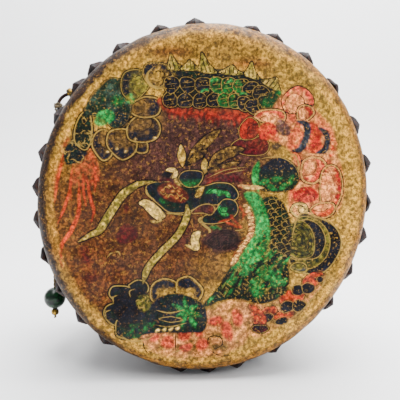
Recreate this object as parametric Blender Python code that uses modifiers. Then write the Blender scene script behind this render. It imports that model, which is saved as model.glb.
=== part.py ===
"""Oval tack drum with two hide heads, standing on its rim.

The frame is metres with +Z up. The front head faces -Y, the drum stands on the worn
tips of its lowest tacks at Z = 0, and the origin is below the middle of the drum.
A clock angle is measured on the front head, from the top, turning to the right.
"""

from math import atan, cos, pi, radians, sin, sqrt, tau

import bmesh
import bpy
from mathutils import Matrix, Vector

# Body and heads
DRUM_DEPTH = 0.160
SHELL_RADIUS = 0.1160
SHELL_LONG_RADIUS = 0.1230
SHELL_TAPER = 0.0026
SHELL_WALL = 0.0120
EDGE_ROUND = 0.0130
LEAN = radians(16)
HIDE = 0.0016
SKIRT = 0.0310

# Tacks
TACK_ROW = 0.0200
TACK_ACROSS = 0.0152
TACK_HEIGHT = 0.0050
TACK_EDGE = 0.0007
SHANK = 0.0024
SHANK_LENGTH = 0.0090
FRONT_TACKS = (-3, 16, 24, 36, 49, 64, 78, 91.5, 103.5, 117, 130, 155, 169, 178.5, 188.5,
               215, 226, 238, 250, 263, 274, 286, 300, 312, 320, 331, 345)
BACK_TACKS = 24
BACK_TACK_START = 7.5
FOOT_WEAR = 0.0012

# Ring and the eye pin that carries it
EYE_CLOCK = radians(308.5)
EYE_REACH = 0.0195
PIN_RISE = radians(20)
PIN_WIRE = 0.0020
PIN_GRIP = 0.0080
EYE_HOLE = 0.0056
RING_RADIUS = 0.0100
RING_WIRE = 0.0030
RING_DROP = 0.0002
RING_TURN = radians(0)
RING_SWING = radians(15)

# Cord and its beads
CORD = 0.0024
KNOT_TURN = radians(8)
GREEN_BEAD = 0.0172
END_BEAD = 0.0062
END_BEAD_LENGTH = 0.0052
CORD_TAIL = 0.0020
CORD_STEP = 0.0062

# From the knot on the ring, in front of the pin, down the side of the shell, then straight down
CORD_ROUTE = (
    (-0.1124, -0.0040, 0.2006),
    (-0.1078, -0.0068, 0.2034),
    (-0.1022, -0.0098, 0.2042),
    (-0.0973, -0.0118, 0.2014),
    (-0.0974, -0.0124, 0.1948),
    (-0.1027, -0.0123, 0.1860),
    (-0.1075, -0.0121, 0.1759),
    (-0.1114, -0.0120, 0.1655),
    (-0.1147, -0.0119, 0.1536),
    (-0.1172, -0.0118, 0.1400),
    (-0.1184, -0.0118, 0.1262),
    (-0.1190, -0.0118, 0.1150),
    (-0.1195, -0.0118, 0.1000),
    (-0.1201, -0.0118, 0.0750),
    (-0.1204, -0.0118, 0.0526),
)

CLEARANCE = 0.0003
MERGE_WITHIN = 0.00005

# How finely the round shapes are divided
ROUND_STEPS = 54
ARC_STEPS = 3
SHELL_PIECES = 6
SKIRT_PIECES = 2
EYE_STEPS = 12
RING_STEPS = 24
RING_SIDES = 8
KNOT_STEPS = 14
KNOT_SIDES = 6
HOLE_SIDES = 8
GREEN_BEAD_STEPS = 16
END_BEAD_STEPS = 12
ROUTE_PARTS = 12
HALVINGS = 40

HALF_DEPTH = DRUM_DEPTH / 2
OVAL = SHELL_LONG_RADIUS / SHELL_RADIUS
LONG_WAY = Vector((sin(LEAN), 0, cos(LEAN)))
SHORT_WAY = Vector((cos(LEAN), 0, -sin(LEAN)))
FRONT = Vector((0, -1, 0))


def shell_radius(y):
    """Outer radius of the barrel shell, measured the short way across."""
    return SHELL_RADIUS - SHELL_TAPER * (y / HALF_DEPTH) ** 2


def shell_slope(y):
    """How fast the shell narrows towards its nearer end."""
    return 2 * SHELL_TAPER * abs(y) / HALF_DEPTH ** 2


def rim(clock, radius):
    """Point and outward direction on the oval of the given short radius."""
    along = Vector((sin(clock), 0, cos(clock)))
    short = along.dot(SHORT_WAY)
    long = along.dot(LONG_WAY)
    reach = radius / sqrt(short ** 2 + (long / OVAL) ** 2)
    outward = (SHORT_WAY * short + LONG_WAY * long / OVAL ** 2).normalized()
    return along * reach, outward


def oval_radius(place):
    """Short radius of the oval that passes through a place, measured about the drum's axis."""
    return sqrt(place.dot(SHORT_WAY) ** 2 + (place.dot(LONG_WAY) / OVAL) ** 2)


def last_clear(low, high, is_clear):
    """Highest value from low to high at which the test still holds, found by halving."""
    for _ in range(HALVINGS):
        middle = (low + high) / 2
        if is_clear(middle):
            low = middle
        else:
            high = middle
    return low


def tack_seat(clock, end):
    """Middle of a tack's seat on the hide and the tack's axis; end is FRONT or its opposite."""
    y = HALF_DEPTH - TACK_ROW
    point, outward = rim(clock, shell_radius(y) + HIDE + 2 * CLEARANCE)
    lean = atan(shell_slope(y))
    return point + end * y, (outward * cos(lean) + end * sin(lean)).normalized()


FRONT_CLOCKS = [radians(degrees) for degrees in FRONT_TACKS]
BACK_CLOCKS = [radians(BACK_TACK_START) + tau * step / BACK_TACKS for step in range(BACK_TACKS)]


def tack_places():
    """Every tack's name, seat and axis, about the drum's own axis."""
    rows = (("front_tack", FRONT_CLOCKS, FRONT), ("back_tack", BACK_CLOCKS, -FRONT))
    for name, clocks, end in rows:
        for number, clock in enumerate(clocks, 1):
            seat, axis = tack_seat(clock, end)
            yield f"{name}_{number:02d}", seat, axis


TIPS = [seat + axis * (TACK_HEIGHT + TACK_EDGE) for _, seat, axis in tack_places()]
LOWEST_TIP = min(tip.z for tip in TIPS)
SIDE_SHIFT = (min(tip.x for tip in TIPS) + max(tip.x for tip in TIPS)) / 2
AXIS = Vector((-SIDE_SHIFT, 0, -LOWEST_TIP - FOOT_WEAR))


def new_collection(name):
    collection = bpy.data.collections.new(name)
    bpy.context.scene.collection.children.link(collection)
    return collection


def material(name, colour, roughness, metallic=0.0):
    made = bpy.data.materials.new(name)
    made.use_nodes = True
    shader = made.node_tree.nodes["Principled BSDF"]
    shader.inputs["Base Color"].default_value = (*colour, 1)
    shader.inputs["Roughness"].default_value = roughness
    shader.inputs["Metallic"].default_value = metallic
    made.diffuse_color = (*colour, 1)
    return made


def add_object(name, mesh, collection, surface=None):
    made = bpy.data.objects.new(name, mesh)
    collection.objects.link(made)
    if surface and not mesh.materials:
        mesh.materials.append(surface)
    return made


def mesh_from(name, shape):
    mesh = bpy.data.meshes.new(name)
    shape.to_mesh(mesh)
    shape.free()
    return mesh


def turned(name, profile, surface, steps=ROUND_STEPS, axis="Y"):
    """A closed profile of (radius, place along the axis) points turned about an axis."""
    shape = bmesh.new()
    stand = {"Y": Vector((0, 1, 0)), "Z": Vector((0, 0, 1))}[axis]
    points = [shape.verts.new(Vector((radius, 0, 0)) + stand * place) for radius, place in profile]
    for here, there in zip(points, points[1:] + points[:1]):
        shape.edges.new((here, there))
    made = add_object(name, mesh_from(name, shape), DRUM, surface)
    screw = made.modifiers.new("turn", "SCREW")
    screw.axis = axis
    screw.steps = steps
    screw.render_steps = steps
    screw.use_merge_vertices = True
    screw.merge_threshold = MERGE_WITHIN
    screw.use_smooth_shade = True
    return made


def stretch_oval(made):
    """Set the drum's own axis, lean and oval on a turned piece."""
    made.location = AXIS
    made.rotation_euler = (0, LEAN, 0)
    made.scale = (1, 1, OVAL)


def edge_arc(offset):
    """Rounded edge of the shell's front end, pushed out by an offset, from face to side."""
    centre_y = -(HALF_DEPTH - HIDE - CLEARANCE - EDGE_ROUND)
    lean = atan(shell_slope(centre_y))
    meet_y = centre_y - EDGE_ROUND * sin(lean)
    centre_r = shell_radius(meet_y) - EDGE_ROUND * cos(lean)
    radius = EDGE_ROUND + offset
    sweep = pi / 2 - lean
    turns = [sweep * step / ARC_STEPS for step in range(ARC_STEPS + 1)]
    return [(centre_r + radius * sin(turn), centre_y - radius * cos(turn)) for turn in turns]


def side_line(offset, start, end, pieces):
    """The shell's side pushed out by an offset, between two places along the axis."""
    places = [start + (end - start) * step / pieces for step in range(1, pieces + 1)]
    return [(shell_radius(y) + offset, y) for y in places]


def build_shell():
    front = edge_arc(0)
    back = [(radius, -y) for radius, y in reversed(front)]
    middle = side_line(0, front[-1][1], back[0][1], SHELL_PIECES)[:-1]
    end = front[0][1]
    bore = [(shell_radius(y) - SHELL_WALL, y) for y in (-end, -end / 3, end / 3, end)]
    profile = front + middle + back + bore
    shell = turned("wooden_shell", profile, WOOD)
    stretch_oval(shell)
    return shell


def build_head(name, end):
    """One hide: a flat skin, a rounded edge and a skirt down the side. end is -1 or 1."""
    hem = -(HALF_DEPTH - SKIRT)
    outer = edge_arc(CLEARANCE + HIDE)
    inner = edge_arc(CLEARANCE)
    skirt_out = side_line(CLEARANCE + HIDE, outer[-1][1], hem, SKIRT_PIECES)
    skirt_in = side_line(CLEARANCE, inner[-1][1], hem, SKIRT_PIECES)
    profile = [(0, outer[0][1])] + outer + skirt_out
    profile += list(reversed(skirt_in)) + list(reversed(inner)) + [(0, inner[0][1])]
    if end > 0:
        profile = [(radius, -y) for radius, y in reversed(profile)]
    head = turned(name, profile, RAWHIDE)
    stretch_oval(head)
    return head


def facing(axis):
    """Turn that takes local Z to a tack's axis and local X round the rim."""
    across = FRONT.cross(axis).normalized()
    return Matrix((across, axis.cross(across), axis)).transposed().to_4x4()


def tack_shape():
    """A four-sided pyramid with a thin edge and a square shank, point outwards along +Z."""
    shape = bmesh.new()
    bmesh.ops.create_cone(shape, cap_ends=True, segments=4, radius1=TACK_ACROSS / 2,
                          radius2=0, depth=TACK_HEIGHT)
    bmesh.ops.translate(shape, verts=shape.verts, vec=(0, 0, TACK_HEIGHT / 2 + TACK_EDGE))
    base = min(shape.faces, key=lambda face: face.calc_center_median().z)
    edge = bmesh.ops.extrude_discrete_faces(shape, faces=[base])["faces"][0]
    bmesh.ops.translate(shape, verts=edge.verts, vec=(0, 0, -TACK_EDGE))
    inset = TACK_ACROSS / 2 / sqrt(2) - SHANK / 2
    bmesh.ops.inset_region(shape, faces=[edge], thickness=inset, use_even_offset=True)
    shank = bmesh.ops.extrude_discrete_faces(shape, faces=[edge])["faces"][0]
    bmesh.ops.translate(shape, verts=shank.verts, vec=(0, 0, -SHANK_LENGTH))
    return shape


def build_tacks():
    """All the tacks; those that reach below the floor are worn flat at Z = 0."""
    whole = mesh_from("tack", tack_shape())
    for name, seat, axis in tack_places():
        place = Matrix.Translation(AXIS + seat) @ facing(axis)
        mesh = whole
        if min((place @ vertex.co).z for vertex in whole.vertices) < 0:
            worn = tack_shape()
            to_local = place.inverted()
            cut = bmesh.ops.bisect_plane(
                worn, geom=worn.verts[:] + worn.edges[:] + worn.faces[:],
                plane_co=to_local @ Vector((0, 0, 0)),
                plane_no=to_local.to_3x3() @ Vector((0, 0, -1)), clear_outer=True)
            rim_edges = [item for item in cut["geom_cut"] if isinstance(item, bmesh.types.BMEdge)]
            bmesh.ops.contextual_create(worn, geom=rim_edges)
            bmesh.ops.recalc_face_normals(worn, faces=worn.faces)
            mesh = mesh_from(name, worn)
        tack = add_object(name, mesh, DRUM, IRON)
        tack.matrix_world = place


def build_tack_holes():
    """One mesh of square prisms, a clearance wider and deeper than the shanks."""
    shape = bmesh.new()
    depth = SHANK_LENGTH + CLEARANCE
    above = HIDE
    width = SHANK + 2 * CLEARANCE
    for _, seat, axis in tack_places():
        made = bmesh.ops.create_cone(shape, cap_ends=True, segments=4, radius1=width / sqrt(2),
                                     radius2=width / sqrt(2), depth=depth + above)
        middle = Matrix.Translation((0, 0, (above - depth) / 2))
        place = Matrix.Translation(AXIS + seat) @ facing(axis) @ middle
        bmesh.ops.transform(shape, matrix=place, verts=made["verts"])
    return add_cutter("tack_holes", mesh_from("tack_holes", shape))


def add_cutter(name, mesh):
    cutter = add_object(name, mesh, CUTTERS)
    cutter.hide_render = True
    cutter.display_type = "WIRE"
    return cutter


def cut(made, cutter):
    boolean = made.modifiers.new(cutter.name, "BOOLEAN")
    boolean.operation = "DIFFERENCE"
    boolean.solver = "EXACT"
    boolean.object = cutter


def eye_place():
    """Middle of the pin's eye and the pin's direction out of the shell."""
    point, outward = rim(EYE_CLOCK, SHELL_RADIUS)
    direction = Matrix.Rotation(PIN_RISE, 3, "Y") @ outward
    return AXIS + point + outward * EYE_REACH, direction


def pin_entry():
    """How far from the eye the pin's line meets the shell."""
    centre, direction = eye_place()

    def outside(reach):
        return oval_radius(centre - direction * reach - AXIS) > SHELL_RADIUS

    return last_clear(0, EYE_REACH * 2, outside)


def wire(name, points, thickness, surface, resolution=2):
    """A round wire or cord along a list of points, with filled ends."""
    curve = bpy.data.curves.new(name, "CURVE")
    curve.dimensions = "3D"
    curve.bevel_depth = thickness / 2
    curve.bevel_resolution = resolution
    curve.use_fill_caps = True
    spline = curve.splines.new("POLY")
    spline.points.add(len(points) - 1)
    for target, point in zip(spline.points, points):
        target.co = (*point, 1)
    return add_object(name, curve, DRUM, surface)


def build_pin():
    """A wire pin bent into an eye, its shank driven into the shell."""
    centre, direction = eye_place()
    bend = (EYE_HOLE + PIN_WIRE) / 2
    side = FRONT
    gap_turn = (PIN_WIRE + CLEARANCE) / bend
    start = bend + PIN_WIRE
    points = [centre - direction * (pin_entry() + PIN_GRIP), centre - direction * start]
    for step in range(EYE_STEPS + 1):
        angle = (tau - gap_turn) * step / EYE_STEPS
        points.append(centre - direction * bend * cos(angle) + side * bend * sin(angle))
    wire("eye_pin", points, PIN_WIRE, BRASS)


def build_pin_hole():
    centre, direction = eye_place()
    depth = pin_entry() + PIN_GRIP + CLEARANCE
    length = PIN_GRIP * 2
    shape = bmesh.new()
    radius = PIN_WIRE / 2 + CLEARANCE
    bmesh.ops.create_cone(shape, cap_ends=True, segments=HOLE_SIDES, radius1=radius,
                          radius2=radius, depth=length)
    middle = centre - direction * (depth - length / 2)
    bmesh.ops.transform(shape, matrix=Matrix.Translation(middle) @ facing(direction),
                        verts=shape.verts)
    return add_cutter("pin_hole", mesh_from("pin_hole", shape))


def ring_at(turn):
    """Middle of the ring turned towards the shell, and its directions along and down."""
    centre, _ = eye_place()
    along = Vector((cos(turn), 0, sin(turn)))
    hang = Vector((sin(turn), 0, -cos(turn)))
    down = hang * cos(RING_SWING) + FRONT * sin(RING_SWING)
    return centre + down * (RING_RADIUS + RING_DROP), along, down


def ring_gap(turn):
    """How far a ring at that turn keeps off the shell."""
    middle, along, down = ring_at(turn)
    gaps = []
    for step in range(RING_STEPS):
        angle = tau * step / RING_STEPS
        place = middle + (along * cos(angle) + down * sin(angle)) * RING_RADIUS - AXIS
        gaps.append(oval_radius(place) - shell_radius(place.y))
    return min(gaps) - RING_WIRE / 2


def ring_frame():
    """The ring as it hangs, turned in as far as its own turn or the shell lets it."""
    return ring_at(last_clear(-pi / 2, RING_TURN, lambda turn: ring_gap(turn) > CLEARANCE))


def ring_torus(name, radius, thickness, segments, sides, surface, place):
    """A round ring of wire or cord, placed by a matrix."""
    bpy.ops.mesh.primitive_torus_add(major_radius=radius, minor_radius=thickness / 2,
                                     major_segments=segments, minor_segments=sides)
    made = bpy.context.object
    made.name = name
    made.data.name = name
    made.data.materials.append(surface)
    made.data.shade_smooth()
    for collection in made.users_collection:
        collection.objects.unlink(made)
    DRUM.objects.link(made)
    made.matrix_world = place


def build_ring():
    middle, along, down = ring_frame()
    turn = Matrix((along, down, along.cross(down))).transposed().to_4x4()
    place = Matrix.Translation(middle) @ turn
    ring_torus("hanging_ring", RING_RADIUS, RING_WIRE, RING_STEPS, RING_SIDES, IRON, place)


def build_knot():
    """The loop of cord tied round the ring's wire, low on its outer side."""
    middle, along, down = ring_frame()
    outward = -along * cos(KNOT_TURN) + down * sin(KNOT_TURN)
    run = along * sin(KNOT_TURN) + down * cos(KNOT_TURN)
    turn = Matrix((outward, run.cross(outward), run)).transposed().to_4x4()
    place = Matrix.Translation(middle + outward * RING_RADIUS) @ turn
    loop = (RING_WIRE + CORD) / 2 + CLEARANCE
    ring_torus("cord_knot", loop, CORD, KNOT_STEPS, KNOT_SIDES, CORD_FIBRE, place)


def smooth_route(points, step):
    """Evenly spaced points on a smooth curve through the given ones."""
    ends = [2 * points[0] - points[1], *points, 2 * points[-1] - points[-2]]
    fine = []
    for before, here, there, after in zip(ends, ends[1:], ends[2:], ends[3:]):
        for part in range(ROUTE_PARTS):
            t = part / ROUTE_PARTS
            fine.append(((2 * here) + (there - before) * t
                         + (2 * before - 5 * here + 4 * there - after) * t ** 2
                         + (3 * here - before - 3 * there + after) * t ** 3) / 2)
    fine.append(points[-1])
    lengths = [0.0]
    for here, there in zip(fine, fine[1:]):
        lengths.append(lengths[-1] + (there - here).length)
    count = round(lengths[-1] / step)
    spaced = []
    for number in range(count + 1):
        target = lengths[-1] * number / count
        place = max(1, next((i for i, run in enumerate(lengths) if run >= target), len(fine) - 1))
        share = (target - lengths[place - 1]) / (lengths[place] - lengths[place - 1])
        spaced.append(fine[place - 1].lerp(fine[place], min(1.0, share)))
    return spaced


def bead(name, radius, length, steps, surface, middle):
    """A turned bead with a bore that clears the cord."""
    bore = CORD / 2 + CLEARANCE
    open_turn = bore / radius
    profile = []
    for step in range(steps // 2 + 1):
        turn = open_turn + (pi - 2 * open_turn) * step / (steps // 2)
        profile.append((radius * sin(turn), length / 2 * cos(turn)))
    made = turned(name, profile, surface, steps, "Z")
    made.location = middle


def build_cord():
    route = [Vector(point) for point in CORD_ROUTE]
    beads_top = route[-1]
    through = GREEN_BEAD + END_BEAD_LENGTH + 2 * CLEARANCE
    route.append(beads_top + Vector((0, 0, -(through + CORD_TAIL))))
    wire("cord", smooth_route(route, CORD_STEP), CORD, CORD_FIBRE)
    green_middle = beads_top + Vector((0, 0, -GREEN_BEAD / 2))
    bead("green_bead", GREEN_BEAD / 2, GREEN_BEAD, GREEN_BEAD_STEPS, GREEN_GLASS, green_middle)
    end_drop = (GREEN_BEAD + END_BEAD_LENGTH) / 2 + CLEARANCE
    end_middle = green_middle + Vector((0, 0, -end_drop))
    bead("end_bead", END_BEAD / 2, END_BEAD_LENGTH, END_BEAD_STEPS, BRASS, end_middle)


for old in list(bpy.data.objects):
    bpy.data.objects.remove(old)

DRUM = new_collection("tack_drum")
CUTTERS = new_collection("drill_cutters")

WOOD = material("dark_lacquered_wood", (0.060, 0.028, 0.018), 0.55)
RAWHIDE = material("varnished_rawhide", (0.330, 0.190, 0.060), 0.38)
IRON = material("forged_iron", (0.045, 0.034, 0.034), 0.60, 0.7)
BRASS = material("old_brass", (0.330, 0.250, 0.090), 0.42, 0.9)
CORD_FIBRE = material("olive_cord", (0.110, 0.085, 0.045), 0.85)
GREEN_GLASS = material("green_glass", (0.006, 0.045, 0.022), 0.12)

wooden_shell = build_shell()
front_head = build_head("front_head", -1)
back_head = build_head("back_head", 1)
tack_holes = build_tack_holes()
for drilled in (wooden_shell, front_head, back_head):
    cut(drilled, tack_holes)
cut(wooden_shell, build_pin_hole())
build_tacks()
build_pin()
build_ring()
build_knot()
build_cord()
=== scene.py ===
"""The looks of an oval tack drum: its painted hide, tacks, shell, hanging ring, cord and beads."""

from math import atan, atan2, cos, pi, radians, sin, sqrt, tau

import bmesh
import bpy
import numpy as np
from mathutils import Matrix, Vector


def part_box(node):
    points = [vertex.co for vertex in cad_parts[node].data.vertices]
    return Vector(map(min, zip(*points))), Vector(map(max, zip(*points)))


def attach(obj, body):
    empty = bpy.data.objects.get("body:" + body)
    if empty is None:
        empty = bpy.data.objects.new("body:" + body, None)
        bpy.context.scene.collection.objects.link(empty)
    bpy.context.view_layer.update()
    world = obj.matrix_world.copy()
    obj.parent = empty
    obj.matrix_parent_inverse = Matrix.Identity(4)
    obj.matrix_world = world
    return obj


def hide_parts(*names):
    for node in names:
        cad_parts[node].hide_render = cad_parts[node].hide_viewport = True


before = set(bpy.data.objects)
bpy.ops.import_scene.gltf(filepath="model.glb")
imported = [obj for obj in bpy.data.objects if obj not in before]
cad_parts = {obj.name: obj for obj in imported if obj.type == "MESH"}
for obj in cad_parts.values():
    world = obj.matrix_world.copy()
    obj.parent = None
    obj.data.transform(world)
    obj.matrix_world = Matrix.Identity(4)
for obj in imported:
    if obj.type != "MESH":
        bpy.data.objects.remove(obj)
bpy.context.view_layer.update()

# The drum's form, in metres, with the front head towards -Y
HEAD_LOW, HEAD_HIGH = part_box("front_head")
AXIS = Vector(((HEAD_LOW.x + HEAD_HIGH.x) / 2, 0, (HEAD_LOW.z + HEAD_HIGH.z) / 2))
HALF_DEPTH = -HEAD_LOW.y
HEM = HEAD_HIGH.y
SHELL_RADIUS = 0.1160
SHELL_LONG_RADIUS = 0.1230
SHELL_TAPER = 0.0026
SHELL_WALL = 0.0120
EDGE_ROUND = 0.0130
HIDE = 0.0016
CLEARANCE = 0.0003
LEAN = radians(16)
OVAL = SHELL_LONG_RADIUS / SHELL_RADIUS
LONG_WAY = Vector((sin(LEAN), 0, cos(LEAN)))
SHORT_WAY = Vector((cos(LEAN), 0, -sin(LEAN)))
FRONT = Vector((0, -1, 0))
MM = 0.001

# Camera, from how the photograph frames the painted face
FACE_WIDTH_SEEN = 0.2734
CAMERA_DISTANCE = 0.330
CAMERA_LEFT = radians(3)
CAMERA_UP = radians(3)
PHOTO_WIDTH = 400
FACE_OFF_CENTRE = 5.7 / PHOTO_WIDTH
SENSOR = 36

# Ring, pin and cord
EYE_CLOCK = radians(308.5)
EYE_REACH = 0.0195
EYE_HOLE = 0.0056
PIN_RISE = radians(20)
PIN_WIRE = 0.0020
PIN_SHANK = 0.0240
BAND_WIDTH = 0.0046
BAND_THICK = 0.0014
RING_RADIUS = 0.0100
RING_WIRE = 0.0030
CORD = 0.0024
CORD_LAY = 0.0062
KNOT_TURNS = 2.2
KNOT_TIGHT = 0.95
GREEN_BEAD = 0.0172
END_BEAD = 0.0062
END_BEAD_LENGTH = 0.0052
CORD_TAIL = 0.0020

# Floor and backdrop
STAGE_REACH = 3.0
STAGE_WIDTH = 8.0
BACKDROP_START = 0.34
BACKDROP_CURVE = 0.3

# Lights: place, what they face, size and power
LIGHTS = {
    "key": ((0.8, -1.1, 1.1), (0, 0, 0.12), 0.6, 15),
    "left_fill": ((-1.2, -0.7, 0.6), (0, 0, 0.12), 0.9, 0.6),
    "top": ((0.25, 0.15, 1.5), (0.1, 0, 0.1), 1.0, 14),
    "backdrop_wash": ((0.2, 0.15, 1.3), (0.1, 0.64, 0.35), 1.4, 75),
}

# How far the camera's film lightens and pales the colours
FILM_TONE = 1.5
FILM_DEPTH = 1.6

# Tacks, hand made from sheet
TACK_ACROSS = 0.0152
TACK_HEIGHT = 0.0050
TACK_EDGE = 0.0007
TACK_SWELL = 0.62
TACK_TILT = radians(7)
TACK_CUTS = 5
TACK_PROUD = 0.0012
SHANK = 0.0024
SHANK_LENGTH = 0.0090

# From the knot on the ring, in front of the pin, down the side of the shell, then straight down
CORD_ROUTE = (
    (-0.1124, -0.0040, 0.2006),
    (-0.1078, -0.0068, 0.2034),
    (-0.1022, -0.0098, 0.2042),
    (-0.0973, -0.0118, 0.2014),
    (-0.0974, -0.0124, 0.1948),
    (-0.1027, -0.0123, 0.1860),
    (-0.1075, -0.0121, 0.1759),
    (-0.1114, -0.0120, 0.1655),
    (-0.1147, -0.0119, 0.1536),
    (-0.1172, -0.0118, 0.1400),
    (-0.1184, -0.0118, 0.1262),
    (-0.1190, -0.0118, 0.1150),
    (-0.1195, -0.0118, 0.1000),
    (-0.1201, -0.0118, 0.0750),
    (-0.1204, -0.0118, 0.0526),
)

# How uneven the hand-stretched hides are, in millimetres: the size of the lumps and how far they reach
DIP_SIZE, DIP_DEPTH = 34, 0.35
CREASE_SIZE, CREASE_DEPTH = 7, 0.14
PUFF_SIZE, PUFF_HEIGHT = 10, 0.8
SWELL_SIZE, SWELL_MEAN, SWELL_HEIGHT = 15, 0.3, 0.9
HEM_RAG_SIZE, HEM_RAG_HEIGHT = 9, 1.6
HEM_FRAY_SIZE, HEM_FRAY_HEIGHT = 2.5, 0.7

# How finely the pieces are divided
SKIN_GRID = 254
BACK_GRID = 120
ARC_RINGS = 13
SKIRT_RINGS = 11
INNER_RINGS = 2
SHELL_STEPS = 240
SHELL_PARTS = 60
SHELL_EDGE_PARTS = 3
ROUTE_PARTS = 12
CORD_STEP = 0.0005
PLY_SIDES = 8
KNOT_PARTS = 120
KNOT_STEP = 0.0004
RING_SIDES = 20
RING_STEPS = 96
EYE_STEPS = 56
PIN_PARTS = 24
PIN_SIDES = 14


def shell_radius(y):
    """Outer radius of the shell, the short way across."""
    return SHELL_RADIUS - SHELL_TAPER * (y / HALF_DEPTH) ** 2


def shell_slope(y):
    """How fast the shell's radius falls along the drum."""
    return 2 * SHELL_TAPER * abs(y) / HALF_DEPTH ** 2


def edge_arc(offset, parts):
    """(radius, y) points round the front edge of the shell, pushed out by an offset."""
    centre_y = -(HALF_DEPTH - HIDE - CLEARANCE - EDGE_ROUND)
    lean = atan(shell_slope(centre_y))
    centre_r = shell_radius(centre_y - EDGE_ROUND * sin(lean)) - EDGE_ROUND * cos(lean)
    radius = EDGE_ROUND + offset
    turns = [(pi / 2 - lean) * step / parts for step in range(parts + 1)]
    return [(centre_r + radius * sin(turn), centre_y - radius * cos(turn)) for turn in turns]


def side_line(offset, start, end, parts):
    """(radius, y) points down the shell's side, pushed out by an offset."""
    ys = [start + (end - start) * step / parts for step in range(1, parts + 1)]
    return [(shell_radius(y) + offset, y) for y in ys]


def rim(clock, radius):
    """Point and outward direction on the oval of the given short radius, about the axis."""
    along = Vector((sin(clock), 0, cos(clock)))
    short = along.dot(SHORT_WAY)
    long = along.dot(LONG_WAY)
    reach = radius / sqrt(short ** 2 + (long / OVAL) ** 2)
    outward = (SHORT_WAY * short + LONG_WAY * long / OVAL ** 2).normalized()
    return along * reach, outward


def to_world(points):
    """From the round drum (x short way, y along it, z long way) to the leaning oval in the frame."""
    short, along, long = points.T
    long = long * OVAL
    return np.stack((AXIS.x + short * cos(LEAN) + long * sin(LEAN), along,
                     AXIS.z - short * sin(LEAN) + long * cos(LEAN)), axis=1)


def to_drum(points):
    """From the frame back to the round drum."""
    x, y, z = points.T
    x, z = x - AXIS.x, z - AXIS.z
    short = x * cos(LEAN) - z * sin(LEAN)
    long = (x * sin(LEAN) + z * cos(LEAN)) / OVAL
    return np.stack((short, y, long), axis=1)


def places(mesh):
    """All vertex places of a mesh as one array."""
    flat = np.empty(len(mesh.vertices) * 3, np.float32)
    mesh.vertices.foreach_get("co", flat)
    return flat.reshape(-1, 3).astype(float)


def set_places(mesh, points):
    """Move all vertices of a mesh to the given points."""
    mesh.vertices.foreach_set("co", points.astype(np.float32).ravel())
    mesh.update()


def lattice(cells, seed):
    """A repeatable pseudo-random value from 0 to 1 for whole-number cells."""
    mixed = cells[0] * 374761393 + cells[1] * 668265263 + cells[2] * 2147483647 + seed * 144664
    mixed = (mixed ^ (mixed >> 13)) * 1274126177
    return ((mixed ^ (mixed >> 16)) & 0xFFFFFF) / 0xFFFFFF


def lumps(points, size, seed):
    """Smooth noise from -1 to 1 with lumps of a given size."""
    scaled = points / size
    cell = np.floor(scaled).astype(np.int64)
    share = scaled - cell
    share = share * share * (3 - 2 * share)
    total = 0.0
    for corner in np.ndindex(2, 2, 2):
        weight = np.prod([s if c else 1 - s for s, c in zip(share.T, corner)], axis=0)
        total = total + weight * lattice([axis + c for axis, c in zip(cell.T, corner)], seed)
    return total * 2 - 1


def to_object(name, shape, surface, smooth_below=radians(40)):
    """Finish a bmesh as a named piece with its material."""
    mesh = bpy.data.meshes.new(name)
    shape.to_mesh(mesh)
    shape.free()
    made = bpy.data.objects.new(name, mesh)
    bpy.context.scene.collection.objects.link(made)
    mesh.materials.append(surface)
    mesh.shade_smooth()
    mesh.set_sharp_from_angle(angle=smooth_below)
    return made


def stand_for(piece, slot, *nodes):
    """The piece takes the place of the plain nodes and moves with the drum."""
    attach(piece, "root")
    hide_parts(*nodes)


def colour(red, green, blue):
    """Screen colour, 0 to 255, as a linear one, deepened because the camera's film softens it."""
    parts = [(c / 12.92 if c <= 0.04045 else ((c + 0.055) / 1.055) ** 2.4)
             for c in (red / 255, green / 255, blue / 255)]
    light = max(parts)
    return tuple(light ** FILM_TONE * (part / light) ** FILM_DEPTH for part in parts)


# Colours of the painted hide
OCHRE = colour(176, 147, 75)
GILT = colour(214, 172, 92)
SOOT = colour(62, 42, 26)
OLD_GOLD = colour(190, 168, 100)
CREAM = colour(224, 196, 130)
INK = colour(18, 16, 16)
NAVY = colour(38, 44, 58)
SLATE = colour(78, 84, 92)
DEEP_GREEN = colour(30, 58, 40)
LEAF_GREEN = colour(44, 118, 64)
JADE = colour(62, 158, 94)
WORN_GREEN = colour(74, 92, 80)
OLIVE = colour(132, 124, 58)
PEACH = colour(224, 166, 112)
ROSE = colour(194, 92, 74)
RED = colour(170, 54, 44)
ORANGE = colour(198, 98, 54)
FLAME = colour(196, 90, 46)
EMBER = colour(196, 92, 30)
BRICK = colour(164, 66, 40)
WINE = colour(116, 68, 46)
DUSK = colour(84, 56, 54)
MAROON = colour(104, 34, 44)
CHESTNUT = colour(108, 76, 48)
PLUM = colour(92, 66, 60)
HONEY = colour(122, 96, 54)
BRONZE = colour(128, 104, 60)
RUST = colour(118, 62, 48)
UMBER = colour(72, 56, 46)


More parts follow.
